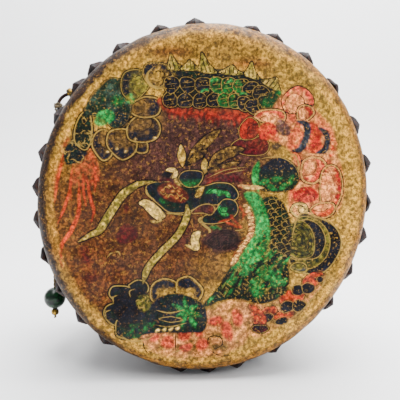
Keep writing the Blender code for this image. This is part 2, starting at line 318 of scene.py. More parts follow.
class Nodes:
    """Writes a node tree, one node to a line."""

    def __init__(self, tree):
        self.tree = tree

    def add(self, kind, inputs=None, **settings):
        made = self.tree.nodes.new("ShaderNode" + kind)
        for name, value in settings.items():
            setattr(made, name, value)
        for name, value in (inputs or {}).items():
            self.put(made.inputs[name], value)
        return made

    def put(self, socket, value):
        if isinstance(value, bpy.types.NodeSocket):
            self.tree.links.new(value, socket)
        elif isinstance(value, tuple) and len(value) == 3 and socket.type == "RGBA":
            socket.default_value = (*value, 1)
        else:
            socket.default_value = value

    def sum(self, operation, first, second=0.0, third=0.0):
        return self.add("Math", {0: first, 1: second, 2: third}, operation=operation).outputs[0]

    def step(self, value, low, high, start=0.0, end=1.0):
        """Smooth change from start to end as the value goes from low to high."""
        made = self.add("MapRange", {"Value": value, "From Min": low, "From Max": high,
                                     "To Min": start, "To Max": end})
        made.interpolation_type = "SMOOTHSTEP"
        return made.outputs[0]

    def mix(self, share, first, second, blend="MIX"):
        made = self.add("Mix", data_type="RGBA", blend_type=blend)
        self.put(made.inputs[0], share)
        self.put(made.inputs[6], first)
        self.put(made.inputs[7], second)
        return made.outputs[2]

    def noise(self, place, size, detail=3.0, roughness=0.55, distortion=0.0):
        """Cloudy noise whose patches are about a given size, in metres."""
        return self.add("TexNoise", {"Vector": place, "Scale": 1 / size, "Detail": detail,
                                     "Roughness": roughness, "Distortion": distortion}).outputs[0]

    def stretch(self, place, factors):
        return self.add("Mapping", {"Vector": place, "Scale": factors}).outputs[0]

    def place(self):
        return self.add("TexCoord").outputs["Object"]

    def attribute(self, name):
        return self.add("Attribute", attribute_name=name)

    def use(self, group, place, **inputs):
        """What a shared node group puts out at a place."""
        return self.add("Group", {"Place": place, **inputs}, node_tree=group).outputs[0]


def new_group(name, inputs, output):
    """A shader node group with named inputs and one output, and its node writer."""
    tree = bpy.data.node_groups.new(name, "ShaderNodeTree")
    for label, (kind, value) in inputs.items():
        socket = tree.interface.new_socket(label, in_out="INPUT", socket_type="NodeSocket" + kind)
        if value is not None:
            socket.default_value = value
    tree.interface.new_socket(output[0], in_out="OUTPUT", socket_type="NodeSocket" + output[1])
    source = tree.nodes.new("NodeGroupInput").outputs
    result = tree.nodes.new("NodeGroupOutput").inputs
    return tree, Nodes(tree), source, result


def build_mottle():
    """Uneven, patchy colour: darker and lighter clouds with fine specks in them."""
    tree, nodes, source, result = new_group("mottle", {
        "Place": ("Vector", None), "Color": ("Color", (1, 1, 1, 1)), "Patch": ("Float", 200.0),
        "Depth": ("Float", 0.5)}, ("Color", "Color"))
    broad = nodes.add("TexNoise", {"Vector": source["Place"], "Scale": source["Patch"],
                                   "Detail": 4.0, "Roughness": 0.6}).outputs[0]
    specks = nodes.noise(source["Place"], 2.2 * MM, 3.0, 0.75)
    level = nodes.sum("ADD", nodes.step(broad, 0.34, 0.66, -0.7, 0.7),
                      nodes.step(specks, 0.4, 0.6, -1.2, 1.2))
    gain = nodes.sum("POWER", 2.0, nodes.sum("MULTIPLY", level, source["Depth"]))
    grey = nodes.add("CombineColor", {0: gain, 1: gain, 2: gain}).outputs[0]
    nodes.put(result["Color"], nodes.mix(1.0, source["Color"], grey, "MULTIPLY"))
    return tree


def build_wear():
    """A mask of ragged patches where a finish has rubbed off."""
    tree, nodes, source, result = new_group("wear", {
        "Place": ("Vector", None), "Grain": ("Float", 400.0), "Amount": ("Float", 0.4)},
        ("Mask", "Float"))
    ragged = nodes.add("TexNoise", {"Vector": source["Place"], "Scale": source["Grain"],
                                    "Detail": 6.0, "Roughness": 0.7}).outputs[0]
    edge = nodes.sum("SUBTRACT", ragged, source["Amount"])
    nodes.put(result["Mask"], nodes.step(edge, -0.04, 0.04, 1, 0))
    return tree


def build_pitted():
    """A height of small pits and grain for bumps."""
    tree, nodes, source, result = new_group("pitted", {
        "Place": ("Vector", None), "Grain": ("Float", 800.0)}, ("Height", "Float"))
    fine = nodes.add("TexNoise", {"Vector": source["Place"], "Scale": source["Grain"], "Detail": 4.0,
                                  "Roughness": 0.6}).outputs[0]
    pits = nodes.add("TexVoronoi", {"Vector": source["Place"], "Scale": source["Grain"]}).outputs[0]
    nodes.put(result["Height"], nodes.sum("MULTIPLY_ADD", pits, 0.4, fine))
    return tree


MOTTLE = build_mottle()
WEAR = build_wear()
PITTED = build_pitted()


def new_material(name, **plain):
    """A material with plain values on its shader, and its node writer."""
    made = bpy.data.materials.new(name)
    made.use_nodes = True
    nodes = Nodes(made.node_tree)
    shader = made.node_tree.nodes["Principled BSDF"]
    for key, value in plain.items():
        nodes.put(shader.inputs[key.replace("_", " ").title().replace("Ior", "IOR")], value)
    return made, nodes, shader


def finish(nodes, shader, shade, roughness, height, depth, coat=None):
    """Link the values that change over the surface."""
    relief = nodes.add("Bump", {"Height": height, "Distance": depth}).outputs[0]
    nodes.put(shader.inputs["Base Color"], shade)
    nodes.put(shader.inputs["Roughness"], roughness)
    nodes.put(shader.inputs["Normal"], relief)
    if coat:
        nodes.put(shader.inputs["Coat Weight"], coat)


def line_mask(nodes, name):
    """Where a drawn line covers the hide, from its distances in millimetres."""
    parts = nodes.add("SeparateXYZ", {0: nodes.attribute(name).outputs["Vector"]}).outputs
    beyond = nodes.sum("SUBTRACT", nodes.sum("ABSOLUTE", parts[0]), parts[2])
    stray = nodes.sum("SUBTRACT", parts[1], parts[2])
    return nodes.sum("MULTIPLY", nodes.step(beyond, -0.1, 0.1, 1, 0), nodes.step(stray, 0.25, 0.5, 1, 0))


def hide_surface():
    """Old painted rawhide: ochre ground, worn paint, gold and ink lines, crackled varnish."""
    made, nodes, shader = new_material("painted_hide", Coat_Roughness=0.32, Specular_IOR_Level=0.1)
    place = nodes.place()
    # The ground colour includes painted shade and a painted highlight round the sides and rim.
    bare = nodes.attribute("ground").outputs["Color"]
    ground = nodes.use(MOTTLE, place, Color=bare, Patch=170.0, Depth=0.82)
    gilt = nodes.use(WEAR, place, Grain=520.0, Amount=0.41)
    ground = nodes.mix(nodes.sum("MULTIPLY", gilt, 0.36), ground, GILT)
    soot = nodes.use(WEAR, nodes.stretch(place, (1.0, 1.0, 0.7)), Grain=330.0, Amount=0.42)
    ground = nodes.mix(nodes.sum("MULTIPLY", soot, 0.55), ground, SOOT)
    paint = nodes.attribute("paint")
    colours = nodes.use(MOTTLE, place, Color=paint.outputs["Color"], Patch=420.0, Depth=0.75)
    rubbed = nodes.use(WEAR, place, Grain=600.0, Amount=0.41)
    share = nodes.sum("MULTIPLY", paint.outputs["Alpha"], nodes.sum("MULTIPLY_ADD", rubbed, -0.65, 1.0))
    shade = nodes.mix(share, ground, colours)
    worn = nodes.use(WEAR, place, Grain=420.0, Amount=0.44)
    kept = nodes.sum("MULTIPLY_ADD", worn, -0.65, 1.0)
    ink = nodes.sum("MULTIPLY", line_mask(nodes, "ink_line"), kept)
    shade = nodes.mix(ink, shade, INK)
    gold = nodes.sum("MULTIPLY", line_mask(nodes, "gold_line"), kept)
    shade = nodes.mix(nodes.sum("MULTIPLY", gold, 0.86), shade, colour(180, 158, 96))
    swirl = nodes.add("TexNoise", {"Vector": place, "Scale": 300.0}).outputs["Color"]
    warped = nodes.add("VectorMath", {0: place, 1: swirl, 2: (4 * MM, 4 * MM, 4 * MM)},
                       operation="MULTIPLY_ADD").outputs[0]
    plates = nodes.add("TexVoronoi", {"Vector": warped, "Scale": 1 / (5 * MM)}, feature="DISTANCE_TO_EDGE")
    crack = nodes.step(plates.outputs[0], 0.0, 0.035, 1, 0)
    crack = nodes.sum("MULTIPLY", crack, nodes.step(nodes.noise(place, 22 * MM), 0.45, 0.6))
    shade = nodes.mix(nodes.sum("MULTIPLY", crack, 0.5), shade, SOOT)
    grain = nodes.use(PITTED, place, Grain=900.0)
    relief = nodes.sum("MULTIPLY_ADD", crack, -0.8, nodes.sum("MULTIPLY_ADD", share, 0.35, grain))
    finish(nodes, shader, shade, nodes.step(nodes.noise(place, 4 * MM), 0.3, 0.7, 0.42, 0.72),
           relief, 0.22 * MM, nodes.step(nodes.noise(place, 15 * MM), 0.35, 0.65, 0.0, 0.16))
    return made


def plain_hide_surface():
    """Unpainted tan rawhide, clouded, veined and grimy."""
    made, nodes, shader = new_material("plain_hide", Coat_Roughness=0.4, Coat_Weight=0.15)
    place = nodes.place()
    broad = nodes.step(nodes.noise(place, 45 * MM, 4.0), 0.35, 0.65)
    shade = nodes.mix(broad, colour(168, 128, 68), colour(122, 84, 44))
    shade = nodes.use(MOTTLE, place, Color=shade, Patch=160.0, Depth=0.22)
    veins = nodes.noise(nodes.stretch(place, (1.0, 1.0, 0.3)), 9 * MM, 6.0, 0.7, 1.5)
    shade = nodes.mix(nodes.step(veins, 0.56, 0.66, 0, 0.55), shade, colour(92, 60, 32))
    grime = nodes.use(WEAR, place, Grain=150.0, Amount=0.42)
    shade = nodes.mix(nodes.sum("MULTIPLY", grime, 0.5), shade, SOOT)
    finish(nodes, shader, shade, nodes.step(nodes.noise(place, 5 * MM), 0.3, 0.7, 0.45, 0.7),
           nodes.use(PITTED, place, Grain=700.0), 0.2 * MM)
    return made


def wood_surface():
    """Dark lacquer over upright staves, rubbed through to the wood in places."""
    made, nodes, shader = new_material("lacquered_wood", Coat_Roughness=0.25)
    place = nodes.place()
    along = nodes.stretch(place, (1.0, 0.08, 1.0))
    grain = nodes.noise(along, 1.6 * MM, 6.0, 0.65, 0.6)
    lacquer = nodes.mix(nodes.step(grain, 0.3, 0.7), colour(42, 24, 20), colour(78, 42, 30))
    wood = nodes.mix(nodes.step(grain, 0.35, 0.65), colour(88, 58, 34), colour(138, 96, 58))
    rubbed = nodes.use(WEAR, nodes.stretch(place, (1.0, 0.35, 1.0)), Grain=120.0, Amount=0.43)
    shade = nodes.mix(nodes.sum("MULTIPLY", rubbed, 0.75), lacquer, wood)
    shade = nodes.use(MOTTLE, place, Color=shade, Patch=90.0, Depth=0.25)
    relief = nodes.sum("MULTIPLY_ADD", grain, 0.8, nodes.sum("MULTIPLY", rubbed, -0.5))
    finish(nodes, shader, shade, nodes.sum("MULTIPLY_ADD", rubbed, 0.3, 0.34), relief, 0.25 * MM,
           nodes.sum("MULTIPLY_ADD", rubbed, -0.35, 0.4))
    return made


def iron_surface():
    """Hammered iron, dark with brown rust and rubbed edges."""
    made, nodes, shader = new_material("forged_iron", Specular_IOR_Level=0.2)
    place = nodes.place()
    rust = nodes.use(WEAR, place, Grain=330.0, Amount=0.47)
    shade = nodes.mix(rust, colour(50, 38, 42), colour(84, 58, 48))
    shade = nodes.use(MOTTLE, place, Color=shade, Patch=500.0, Depth=0.5)
    nodes.put(shader.inputs["Metallic"], nodes.sum("MULTIPLY_ADD", rust, -0.12, 0.15))
    finish(nodes, shader, shade, nodes.sum("MULTIPLY_ADD", rust, 0.2, 0.68),
           nodes.use(PITTED, place, Grain=1100.0), 0.15 * MM)
    return made


def brass_surface():
    """Brass with a patchy olive tarnish."""
    made, nodes, shader = new_material("old_brass")
    place = nodes.place()
    tarnish = nodes.use(WEAR, place, Grain=420.0, Amount=0.5)
    shade = nodes.mix(tarnish, colour(188, 160, 86), colour(92, 82, 44))
    shade = nodes.use(MOTTLE, place, Color=shade, Patch=600.0, Depth=0.25)
    nodes.put(shader.inputs["Metallic"], nodes.sum("MULTIPLY_ADD", tarnish, -0.5, 0.95))
    finish(nodes, shader, shade, nodes.sum("MULTIPLY_ADD", tarnish, 0.3, 0.32),
           nodes.use(PITTED, place, Grain=1400.0), 0.08 * MM)
    return made


def cord_surface():
    """Waxed twisted cord, its fibres running along the strands."""
    made, nodes, shader = new_material("twisted_cord", Sheen_Weight=0.25)
    place = nodes.place()
    fibres = nodes.noise(nodes.stretch(place, (1.0, 1.0, 0.35)), 0.35 * MM, 4.0, 0.7)
    shade = nodes.mix(nodes.step(fibres, 0.3, 0.7), colour(64, 54, 34), colour(142, 124, 82))
    shade = nodes.use(MOTTLE, place, Color=shade, Patch=260.0, Depth=0.3)
    finish(nodes, shader, shade, nodes.step(fibres, 0.3, 0.7, 0.75, 0.95), fibres, 0.12 * MM)
    return made


def glass_surface():
    """Nearly black green glass, greener where thin, with fine scratches."""
    made, nodes, shader = new_material("green_glass", Coat_Weight=0.2, Coat_Roughness=0.2,
                                       Specular_IOR_Level=0.22)
    place = nodes.place()
    swirl = nodes.noise(nodes.stretch(place, (1.0, 1.0, 2.2)), 5 * MM, 5.0, 0.6, 1.2)
    shade = nodes.mix(nodes.step(swirl, 0.35, 0.65), colour(4, 34, 24), colour(8, 84, 52))
    scratches = nodes.noise(nodes.stretch(place, (1.0, 1.0, 9.0)), 0.7 * MM, 3.0)
    finish(nodes, shader, shade, nodes.step(scratches, 0.4, 0.7, 0.28, 0.45), scratches, 0.02 * MM)
    return made


HIDE_SURFACE = hide_surface()
BACK_SURFACE = plain_hide_surface()
WOOD_SURFACE = wood_surface()
IRON_SURFACE = iron_surface()
BRASS_SURFACE = brass_surface()
CORD_SURFACE = cord_surface()
GLASS_SURFACE = glass_surface()


def build_camera():
    """Camera at the photograph's angle, in front of the painted face and a little to its left."""
    lens = bpy.data.cameras.new("camera")
    lens.sensor_width = SENSOR
    lens.lens = SENSOR * CAMERA_DISTANCE / FACE_WIDTH_SEEN
    lens.clip_start = 0.01
    camera = bpy.data.objects.new("camera", lens)
    bpy.context.scene.collection.objects.link(camera)
    face = AXIS + FRONT * HALF_DEPTH
    back = Vector((-sin(CAMERA_LEFT) * cos(CAMERA_UP), -cos(CAMERA_LEFT) * cos(CAMERA_UP),
                   sin(CAMERA_UP)))
    camera.location = face + back * CAMERA_DISTANCE
    camera.rotation_mode = "QUATERNION"
    camera.rotation_quaternion = (-back).to_track_quat("-Z", "Y")
    lens.shift_x = -FACE_OFF_CENTRE
    bpy.context.scene.camera = camera


def smooth_route(points, parts, closed=False):
    """Points on a smooth curve through the given ones, a number of parts to each stretch."""
    if closed:
        ends = [points[-1], *points, *points[:2]]
    else:
        ends = [2 * points[0] - points[1], *points, 2 * points[-1] - points[-2]]
    fine = []
    for before, here, there, after in zip(ends, ends[1:], ends[2:], ends[3:]):
        for part in range(parts):
            t = part / parts
            fine.append(((2 * here) + (there - before) * t
                         + (2 * before - 5 * here + 4 * there - after) * t ** 2
                         + (3 * here - before - 3 * there + after) * t ** 3) / 2)
    fine.append(ends[-2])
    return fine


def evenly(points, step):
    """The same line with its points an even step apart."""
    line = np.array(points, float)
    run = np.concatenate([[0], np.cumsum(np.linalg.norm(np.diff(line, axis=0), axis=1))])
    at = np.linspace(0, run[-1], round(run[-1] / step) + 1)
    return np.stack([np.interp(at, run, line[:, axis]) for axis in range(3)], axis=1), run[-1]


def carried_frames(line):
    """Two directions square to a line at each point, carried along it without twist."""
    runs = np.gradient(line, axis=0)
    runs /= np.linalg.norm(runs, axis=1)[:, None]
    side = np.cross(runs[0], (0.3, 0.8, 0.5))
    sides = []
    for run in runs:
        side = side - run * side.dot(run)
        side = side / np.linalg.norm(side)
        sides.append(side)
    sides = np.array(sides)
    return sides, np.cross(runs, sides)


def sweep(shape, line, radii, sides, across=None):
    """Add a round tube along a line to a bmesh, closed at both ends."""
    first, second = across if across is not None else carried_frames(line)
    rings = []
    for point, radius, one, two in zip(line, radii, first, second):
        ring = []
        for number in range(sides):
            angle = tau * number / sides
            ring.append(shape.verts.new(point + (one * cos(angle) + two * sin(angle)) * radius))
        rings.append(ring)
    for low, high in zip(rings, rings[1:]):
        for number in range(sides):
            after = (number + 1) % sides
            shape.faces.new((low[number], low[after], high[after], high[number]))
    shape.faces.new(rings[0][::-1])
    shape.faces.new(rings[-1])


def two_ply(shape, line, thickness):
    """Two strands laid round each other along a line, with worn fibres as small unevenness."""
    first, second = carried_frames(line)
    strand = thickness / 4
    turns = np.arange(len(line)) * np.linalg.norm(line[1] - line[0]) / CORD_LAY * tau
    for start in (0, pi):
        angle = (turns + start)[:, None]
        centre = line + (first * np.cos(angle) + second * np.sin(angle)) * strand
        radii = strand * (1.1 + 0.1 * lumps(centre, 3 * MM, 5))
        sweep(shape, centre, radii, PLY_SIDES)


def build_cord():
    """The twisted cord from the ring to its end below the beads."""
    route = [Vector(point) for point in CORD_ROUTE]
    through = GREEN_BEAD + END_BEAD_LENGTH + 2 * CLEARANCE
    route.append(route[-1] + Vector((0, 0, -(through + CORD_TAIL))))
    line, length = evenly(smooth_route(route, ROUTE_PARTS), CORD_STEP)
    shape = bmesh.new()
    two_ply(shape, line, CORD)
    cord = to_object("twisted_cord", shape, CORD_SURFACE, pi)
    stand_for(cord, "twisted_cord", "cord")
    return cord, line, length


def turned(profile, steps):
    """A bmesh turned about the Z axis from (radius, height) points, merged shut."""
    shape = bmesh.new()
    points = [shape.verts.new((radius, 0, height)) for radius, height in profile]
    edges = [shape.edges.new(pair) for pair in zip(points, points[1:] + points[:1])]
    bmesh.ops.spin(shape, geom=points + edges, cent=(0, 0, 0), axis=(0, 0, 1), angle=tau,
                   steps=steps, use_merge=True)
    bmesh.ops.remove_doubles(shape, verts=shape.verts, dist=0.001 * MM)
    bmesh.ops.recalc_face_normals(shape, faces=shape.faces)
    return shape


def middle_of(node):
    """The middle of a plain node's box."""
    low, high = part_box(node)
    return (low + high) / 2


def build_bead(name, node, surface, slot, across, length, parts, steps, fullness):
    """A bead bored for the cord: round at fullness 1, more like a barrel below that."""
    radius = across / 2
    open_turn = (CORD / 2 + CLEARANCE) / radius
    turns = [open_turn + (pi - 2 * open_turn) * part / parts for part in range(parts + 1)]
    shape = turned([(radius * sin(turn) ** fullness, length / 2 * cos(turn)) for turn in turns], steps)
    bmesh.ops.translate(shape, verts=shape.verts, vec=middle_of(node))
    bead = to_object(name, shape, surface)
    stand_for(bead, slot, node)
    return bead


def build_hide(name, node, end, surface, slot, grid):
    """One hide, closed: the flat skin, its rounded edge, the skirt and the hidden inner side."""
    shape = bmesh.new()
    bmesh.ops.create_grid(shape, x_segments=grid, y_segments=grid, size=1)
    face_r = edge_arc(0, 1)[0][0]
    for vertex in shape.verts:
        across, up = vertex.co.x, vertex.co.y
        if abs(across) >= abs(up) and across:
            reach, turn = across, pi / 4 * up / across
        else:
            reach, turn = up, pi / 2 - pi / 4 * (across / up if up else 0)
        vertex.co = (face_r * reach * cos(turn), -HALF_DEPTH, face_r * reach * sin(turn))
    rings = []
    for offset, arcs, skirts in ((HIDE + CLEARANCE, ARC_RINGS, SKIRT_RINGS),
                                 (CLEARANCE, INNER_RINGS, INNER_RINGS)):
        arc = edge_arc(offset, arcs)
        rings.append(arc + side_line(offset, arc[-1][1], HEM, skirts))
    edges = [edge for edge in shape.edges if edge.is_boundary]
    outer = len(shape.verts) + len(edges) * len(rings[0][1:])
    for radius, y in rings[0][1:] + rings[1][::-1]:
        made = bmesh.ops.extrude_edge_only(shape, edges=edges)["geom"]
        edges = [item for item in made if isinstance(item, bmesh.types.BMEdge)]
        for vertex in (item for item in made if isinstance(item, bmesh.types.BMVert)):
            flat = Vector((vertex.co.x, 0, vertex.co.z)).normalized() * radius
            vertex.co = (flat.x, y, flat.z)
    bmesh.ops.edgeloop_fill(shape, edges=edges)
    if end > 0:
        bmesh.ops.scale(shape, vec=(1, -1, 1), verts=shape.verts)
    bmesh.ops.recalc_face_normals(shape, faces=shape.faces)
    hide = to_object(name, shape, surface)
    shape_hide(hide.data, outer, end)
    stand_for(hide, slot, node)
    return hide


def shape_hide(mesh, outer, end):
    """Set the oval and the lean, and the unevenness of a hand-stretched hide on its outer side."""
    points = to_world(places(mesh))
    bare = np.arange(len(points)) < outer
    out = points - np.array(AXIS)
    out[:, 1] = 0
    reach = np.linalg.norm(out, axis=1)
    out /= np.maximum(reach, MM)[:, None]
    down = np.clip((HALF_DEPTH - 2 * EDGE_ROUND - np.abs(points[:, 1])) / EDGE_ROUND + 1, 0, 1)
    flat = bare & (np.abs(points[:, 1]) > HALF_DEPTH - 0.5 * MM)
    dips = 0.5 + 0.5 * lumps(points, DIP_SIZE * MM, 11)
    creases = np.abs(lumps(points * (1, 1, 0.5), CREASE_SIZE * MM, 12))
    press = (DIP_DEPTH * dips + CREASE_DEPTH * creases) * MM
    points[:, 1] -= np.where(flat, press * end, 0)
    tacks = [tack_place(node).translation for name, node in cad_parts.items()
             if name.startswith("front_tack" if end < 0 else "back_tack")]
    near = np.min([np.linalg.norm(points - np.array(tack), axis=1) for tack in tacks], axis=0)
    free = np.clip((near - TACK_ACROSS * 0.35) / TACK_ACROSS, 0, 1)
    puff = (0.25 + free * 0.9) * lumps(points * (1, 0.4, 1), PUFF_SIZE * MM, 13) * down * MM * PUFF_HEIGHT
    points += out * np.where(bare, np.clip(puff, -0.5 * MM, 0.6 * MM), 0)[:, None]
    rise = np.clip((HALF_DEPTH - np.abs(points[:, 1])) / EDGE_ROUND, 0, 1) * np.where(bare, free, 0)
    swell = SWELL_MEAN + SWELL_HEIGHT * lumps(points * (1, 0.3, 1), SWELL_SIZE * MM, 17)
    points += out * (rise * swell * MM)[:, None]
    ragged = (HEM_RAG_HEIGHT * lumps(points * (1, 0, 1), HEM_RAG_SIZE * MM, 14)
              + HEM_FRAY_HEIGHT * lumps(points * (1, 0, 1), HEM_FRAY_SIZE * MM, 15))
    points[:, 1] -= end * down ** 3 * (ragged + 1.0) * MM * (reach > SHELL_RADIUS - 2 * HIDE)
    set_places(mesh, points)


def build_shell():
    """The barrel shell, fine enough to look round."""
    front = edge_arc(0, SHELL_EDGE_PARTS)
    back = [(radius, -y) for radius, y in reversed(front)]
    middle = side_line(0, front[-1][1], back[0][1], SHELL_PARTS)[:-1]
    end = front[0][1]
    bore = [(shell_radius(y) - SHELL_WALL, y) for y in (-end, -end / 3, end / 3, end)]
    shape = turned(front + middle + back + bore, SHELL_STEPS)
    bmesh.ops.rotate(shape, verts=shape.verts, matrix=Matrix.Rotation(-pi / 2, 3, "X"))
    shell = to_object("barrel_shell", shape, WOOD_SURFACE)
    set_places(shell.data, to_world(places(shell.data)))
    stand_for(shell, "lacquered_wood", "wooden_shell")


def tack_place(node):
    """Where a tack sits: its seat on the hide, its axis outwards and its square's direction."""
    shape = bmesh.new()
    shape.from_mesh(node.data)
    bmesh.ops.remove_doubles(shape, verts=shape.verts, dist=0.001 * MM)
    depth = {vert: np.hypot(*to_drum(np.array([vert.co]))[0][[0, 2]]) for vert in shape.verts}
    tips = sorted(shape.verts, key=depth.get)[:4]
    sides = [edge for edge in tips[0].link_edges if edge.other_vert(tips[0]) not in tips]
    side = min(sides, key=lambda edge: edge.calc_length())
    axis = (side.other_vert(tips[0]).co - tips[0].co).normalized()
    seat = sum((vert.co for vert in tips), Vector()) / 4 + axis * SHANK_LENGTH
    across = FRONT.cross(axis).normalized()
    shape.free()
    return Matrix.Translation(seat) @ Matrix((across, axis.cross(across), axis)).transposed().to_4x4()


def tack_shape(seed):
    """A hammered four-sided tack head on its shank; no two are alike."""
    draw = np.random.default_rng(seed)
    shape = bmesh.new()
    bmesh.ops.create_cone(shape, cap_ends=True, segments=4, radius1=TACK_ACROSS / 2, radius2=0,
                          depth=TACK_HEIGHT)
    bmesh.ops.translate(shape, verts=shape.verts, vec=(0, 0, TACK_HEIGHT / 2 + TACK_EDGE))
    base = min(shape.faces, key=lambda face: face.calc_center_median().z)
    edge = bmesh.ops.extrude_discrete_faces(shape, faces=[base])["faces"][0]
    bmesh.ops.translate(shape, verts=edge.verts, vec=(0, 0, -TACK_EDGE))
    inset = TACK_ACROSS / 2 / sqrt(2) - SHANK / 2
    bmesh.ops.inset_region(shape, faces=[edge], thickness=inset, use_even_offset=True)
    shank = bmesh.ops.extrude_discrete_faces(shape, faces=[edge])["faces"][0]
    bmesh.ops.translate(shape, verts=shank.verts, vec=(0, 0, -SHANK_LENGTH))
    bmesh.ops.subdivide_edges(shape, edges=shape.edges, cuts=TACK_CUTS, use_grid_fill=True)
    lifts = draw.uniform(-0.3, 1.1, 4) * MM
    skew = draw.uniform(-1.2, 1.2, 2) * MM
    shift = draw.uniform(0, 50, 3)
    for vert in shape.verts:
        if vert.co.z < -0.01 * MM:
            continue
        out = vert.co.xy.length / (TACK_ACROSS / 2)
        corner = int(((atan2(vert.co.y, vert.co.x) / tau + 0.125) % 1) * 4)
        dent = lumps(np.array([vert.co + Vector(shift)]), 2.6 * MM, seed)[0]
        if vert.co.z > TACK_EDGE:
            height = (vert.co.z - TACK_EDGE) / TACK_HEIGHT
            vert.co.z = TACK_EDGE + TACK_HEIGHT * height ** TACK_SWELL
        vert.co.z += lifts[corner] * max(0, out - 0.45) ** 2 * 2 + dent * 0.4 * MM * (0.4 + out)
        vert.co.xy += Vector(skew) * (1 - min(out, 1)) * vert.co.z / TACK_HEIGHT
    return shape


def build_tack(name, node, seed):
    """One tack on its seat, tilted by hand, standing prouder at the right and cut level at the floor."""
    draw = np.random.default_rng(seed + 500)
    shape = tack_shape(seed)
    turns = [Matrix.Rotation(turn, 4, axis) for turn, axis in zip(draw.uniform(-1, 1, 3) * TACK_TILT, "XYZ")]
    tilt = turns[0] @ turns[1] @ turns[2]
    seat = tack_place(node)
    proud = Matrix.Translation((0, 0, TACK_PROUD * max(0, seat.col[2].x) ** 2))
    bmesh.ops.transform(shape, matrix=seat @ proud @ tilt, verts=shape.verts)
    if min(vert.co.z for vert in shape.verts) < 0:
        everything = shape.verts[:] + shape.edges[:] + shape.faces[:]
        cut = bmesh.ops.bisect_plane(shape, geom=everything, plane_co=(0, 0, 0),
                                     plane_no=(0, 0, -1), clear_outer=True)
        rim_edges = [item for item in cut["geom_cut"] if isinstance(item, bmesh.types.BMEdge)]
        bmesh.ops.holes_fill(shape, edges=rim_edges)
    bmesh.ops.recalc_face_normals(shape, faces=shape.faces)
    tack = to_object(name, shape, IRON_SURFACE, radians(28))
    stand_for(tack, "forged_iron", node.name)


def build_tacks():
    """Both rows of tacks, each tack at its own plain node."""
    tacks = sorted(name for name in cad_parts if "_tack_" in name)
    for number, name in enumerate(tacks):
        build_tack("iron_" + name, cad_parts[name], number)


def ring_place():
    """The ring's middle and its own axis, read from its plain solid."""
    points = places(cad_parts["hanging_ring"].data)
    middle = middle_of("hanging_ring")
    axis = Vector(np.linalg.svd(points - np.array(middle), full_matrices=False)[2][2])
    return middle, axis if axis.y > 0 else -axis


def build_ring():
    """The iron ring, drawn by hand, so not quite even."""
    middle, axis = ring_place()
    wire = RING_WIRE / 2
    turns = [tau * step / RING_SIDES for step in range(RING_SIDES)]
    shape = turned([(RING_RADIUS + wire * cos(turn), wire * sin(turn)) for turn in turns], RING_STEPS)
    for vert in shape.verts:
        centre = vert.co.xy.normalized().to_3d() * RING_RADIUS
        swell = 0.96 - 0.05 * lumps(np.array([vert.co]), 4 * MM, 3)[0]
        vert.co = centre + (vert.co - centre) * swell
    bmesh.ops.transform(shape, verts=shape.verts, matrix=Matrix.Translation(middle)
                        @ axis.to_track_quat("Z", "Y").to_matrix().to_4x4())
    ring = to_object("iron_ring", shape, IRON_SURFACE, pi)
    stand_for(ring, "forged_iron", "hanging_ring")


def build_pin():
    """The eye pin: a brass band bent into an eye, its two ends drawn into one shank."""
    point, outward = rim(EYE_CLOCK, SHELL_RADIUS)
    direction = Matrix.Rotation(PIN_RISE, 3, "Y") @ outward
    centre = AXIS + point + outward * EYE_REACH
    bend = (EYE_HOLE + PIN_WIRE) / 2
    half = BAND_WIDTH / 2
    thick = BAND_THICK / 2
    section = [(bend - thick, -half * 0.8), (bend + thick * 0.4, -half), (bend + thick, -half * 0.7),
               (bend + thick * 1.1, 0), (bend + thick, half * 0.7), (bend + thick * 0.4, half),
               (bend - thick, half * 0.8)]
    shape = turned(section, EYE_STEPS)
    eye_axis = direction.cross(FRONT)
    stand = Matrix((FRONT, direction, FRONT.cross(direction))).transposed().to_4x4()
    bmesh.ops.transform(shape, verts=shape.verts, matrix=Matrix.Translation(centre) @ stand)
    steps = range(PIN_PARTS + 1)
    line = np.array([centre - direction * (bend * 0.9 + PIN_SHANK * step / PIN_PARTS) for step in steps])
    radii = [PIN_WIRE / 2 * (1.35 - 0.5 * step / PIN_PARTS) for step in steps]
    radii[-1] = PIN_WIRE * 0.1
    sweep(shape, line, radii, PIN_SIDES, [np.tile(way, (len(line), 1)) for way in (eye_axis, FRONT)])
    bmesh.ops.recalc_face_normals(shape, faces=shape.faces)
    pin = to_object("brass_eye_pin", shape, BRASS_SURFACE, radians(35))
    stand_for(pin, "old_brass", "eye_pin")


def build_knot():
    """The cord's end, wound twice round the ring's wire and tucked under itself."""
    middle, axis = ring_place()
    knot = middle_of("cord_knot")
    radial = (knot - middle).normalized()
    run = axis.cross(radial)
    line = []
    for step in range(KNOT_PARTS + 1):
        share = step / KNOT_PARTS
        angle = tau * KNOT_TURNS * share
        reach = (RING_WIRE + CORD) / 2 * (1 + 0.1 * sin(angle * 0.5))
        line.append(knot + radial * reach * cos(angle) + axis * reach * sin(angle)
                    + run * CORD * KNOT_TIGHT * (share - 0.5) * KNOT_TURNS)
    even, _ = evenly(line, KNOT_STEP)
    shape = bmesh.new()
    two_ply(shape, even, CORD * KNOT_TIGHT)
    knot_piece = to_object("wound_knot", shape, CORD_SURFACE, pi)
    stand_for(knot_piece, "twisted_cord", "cord_knot")
    return knot_piece


# The picture, in millimetres across and up from its own middle, and how it lies on the face
PICTURE_SCALE = 1.025
PICTURE_LEFT = 2.5

# Painting: a distance beyond every line, the parts of a curve's stretch and the unevenness of ovals
FAR = 9.0
LINE_PARTS = 6
HAND = 0.07
GOLD_LINE = "gold_line"
INK_LINE = "ink_line"


class Form:
    """What lies near a drawn form: which points of the skin, how far outside, and how far along."""

    def __init__(self, at, gap, side, along):
        self.at = at
        self.gap = gap
        self.side = side
        self.along = along


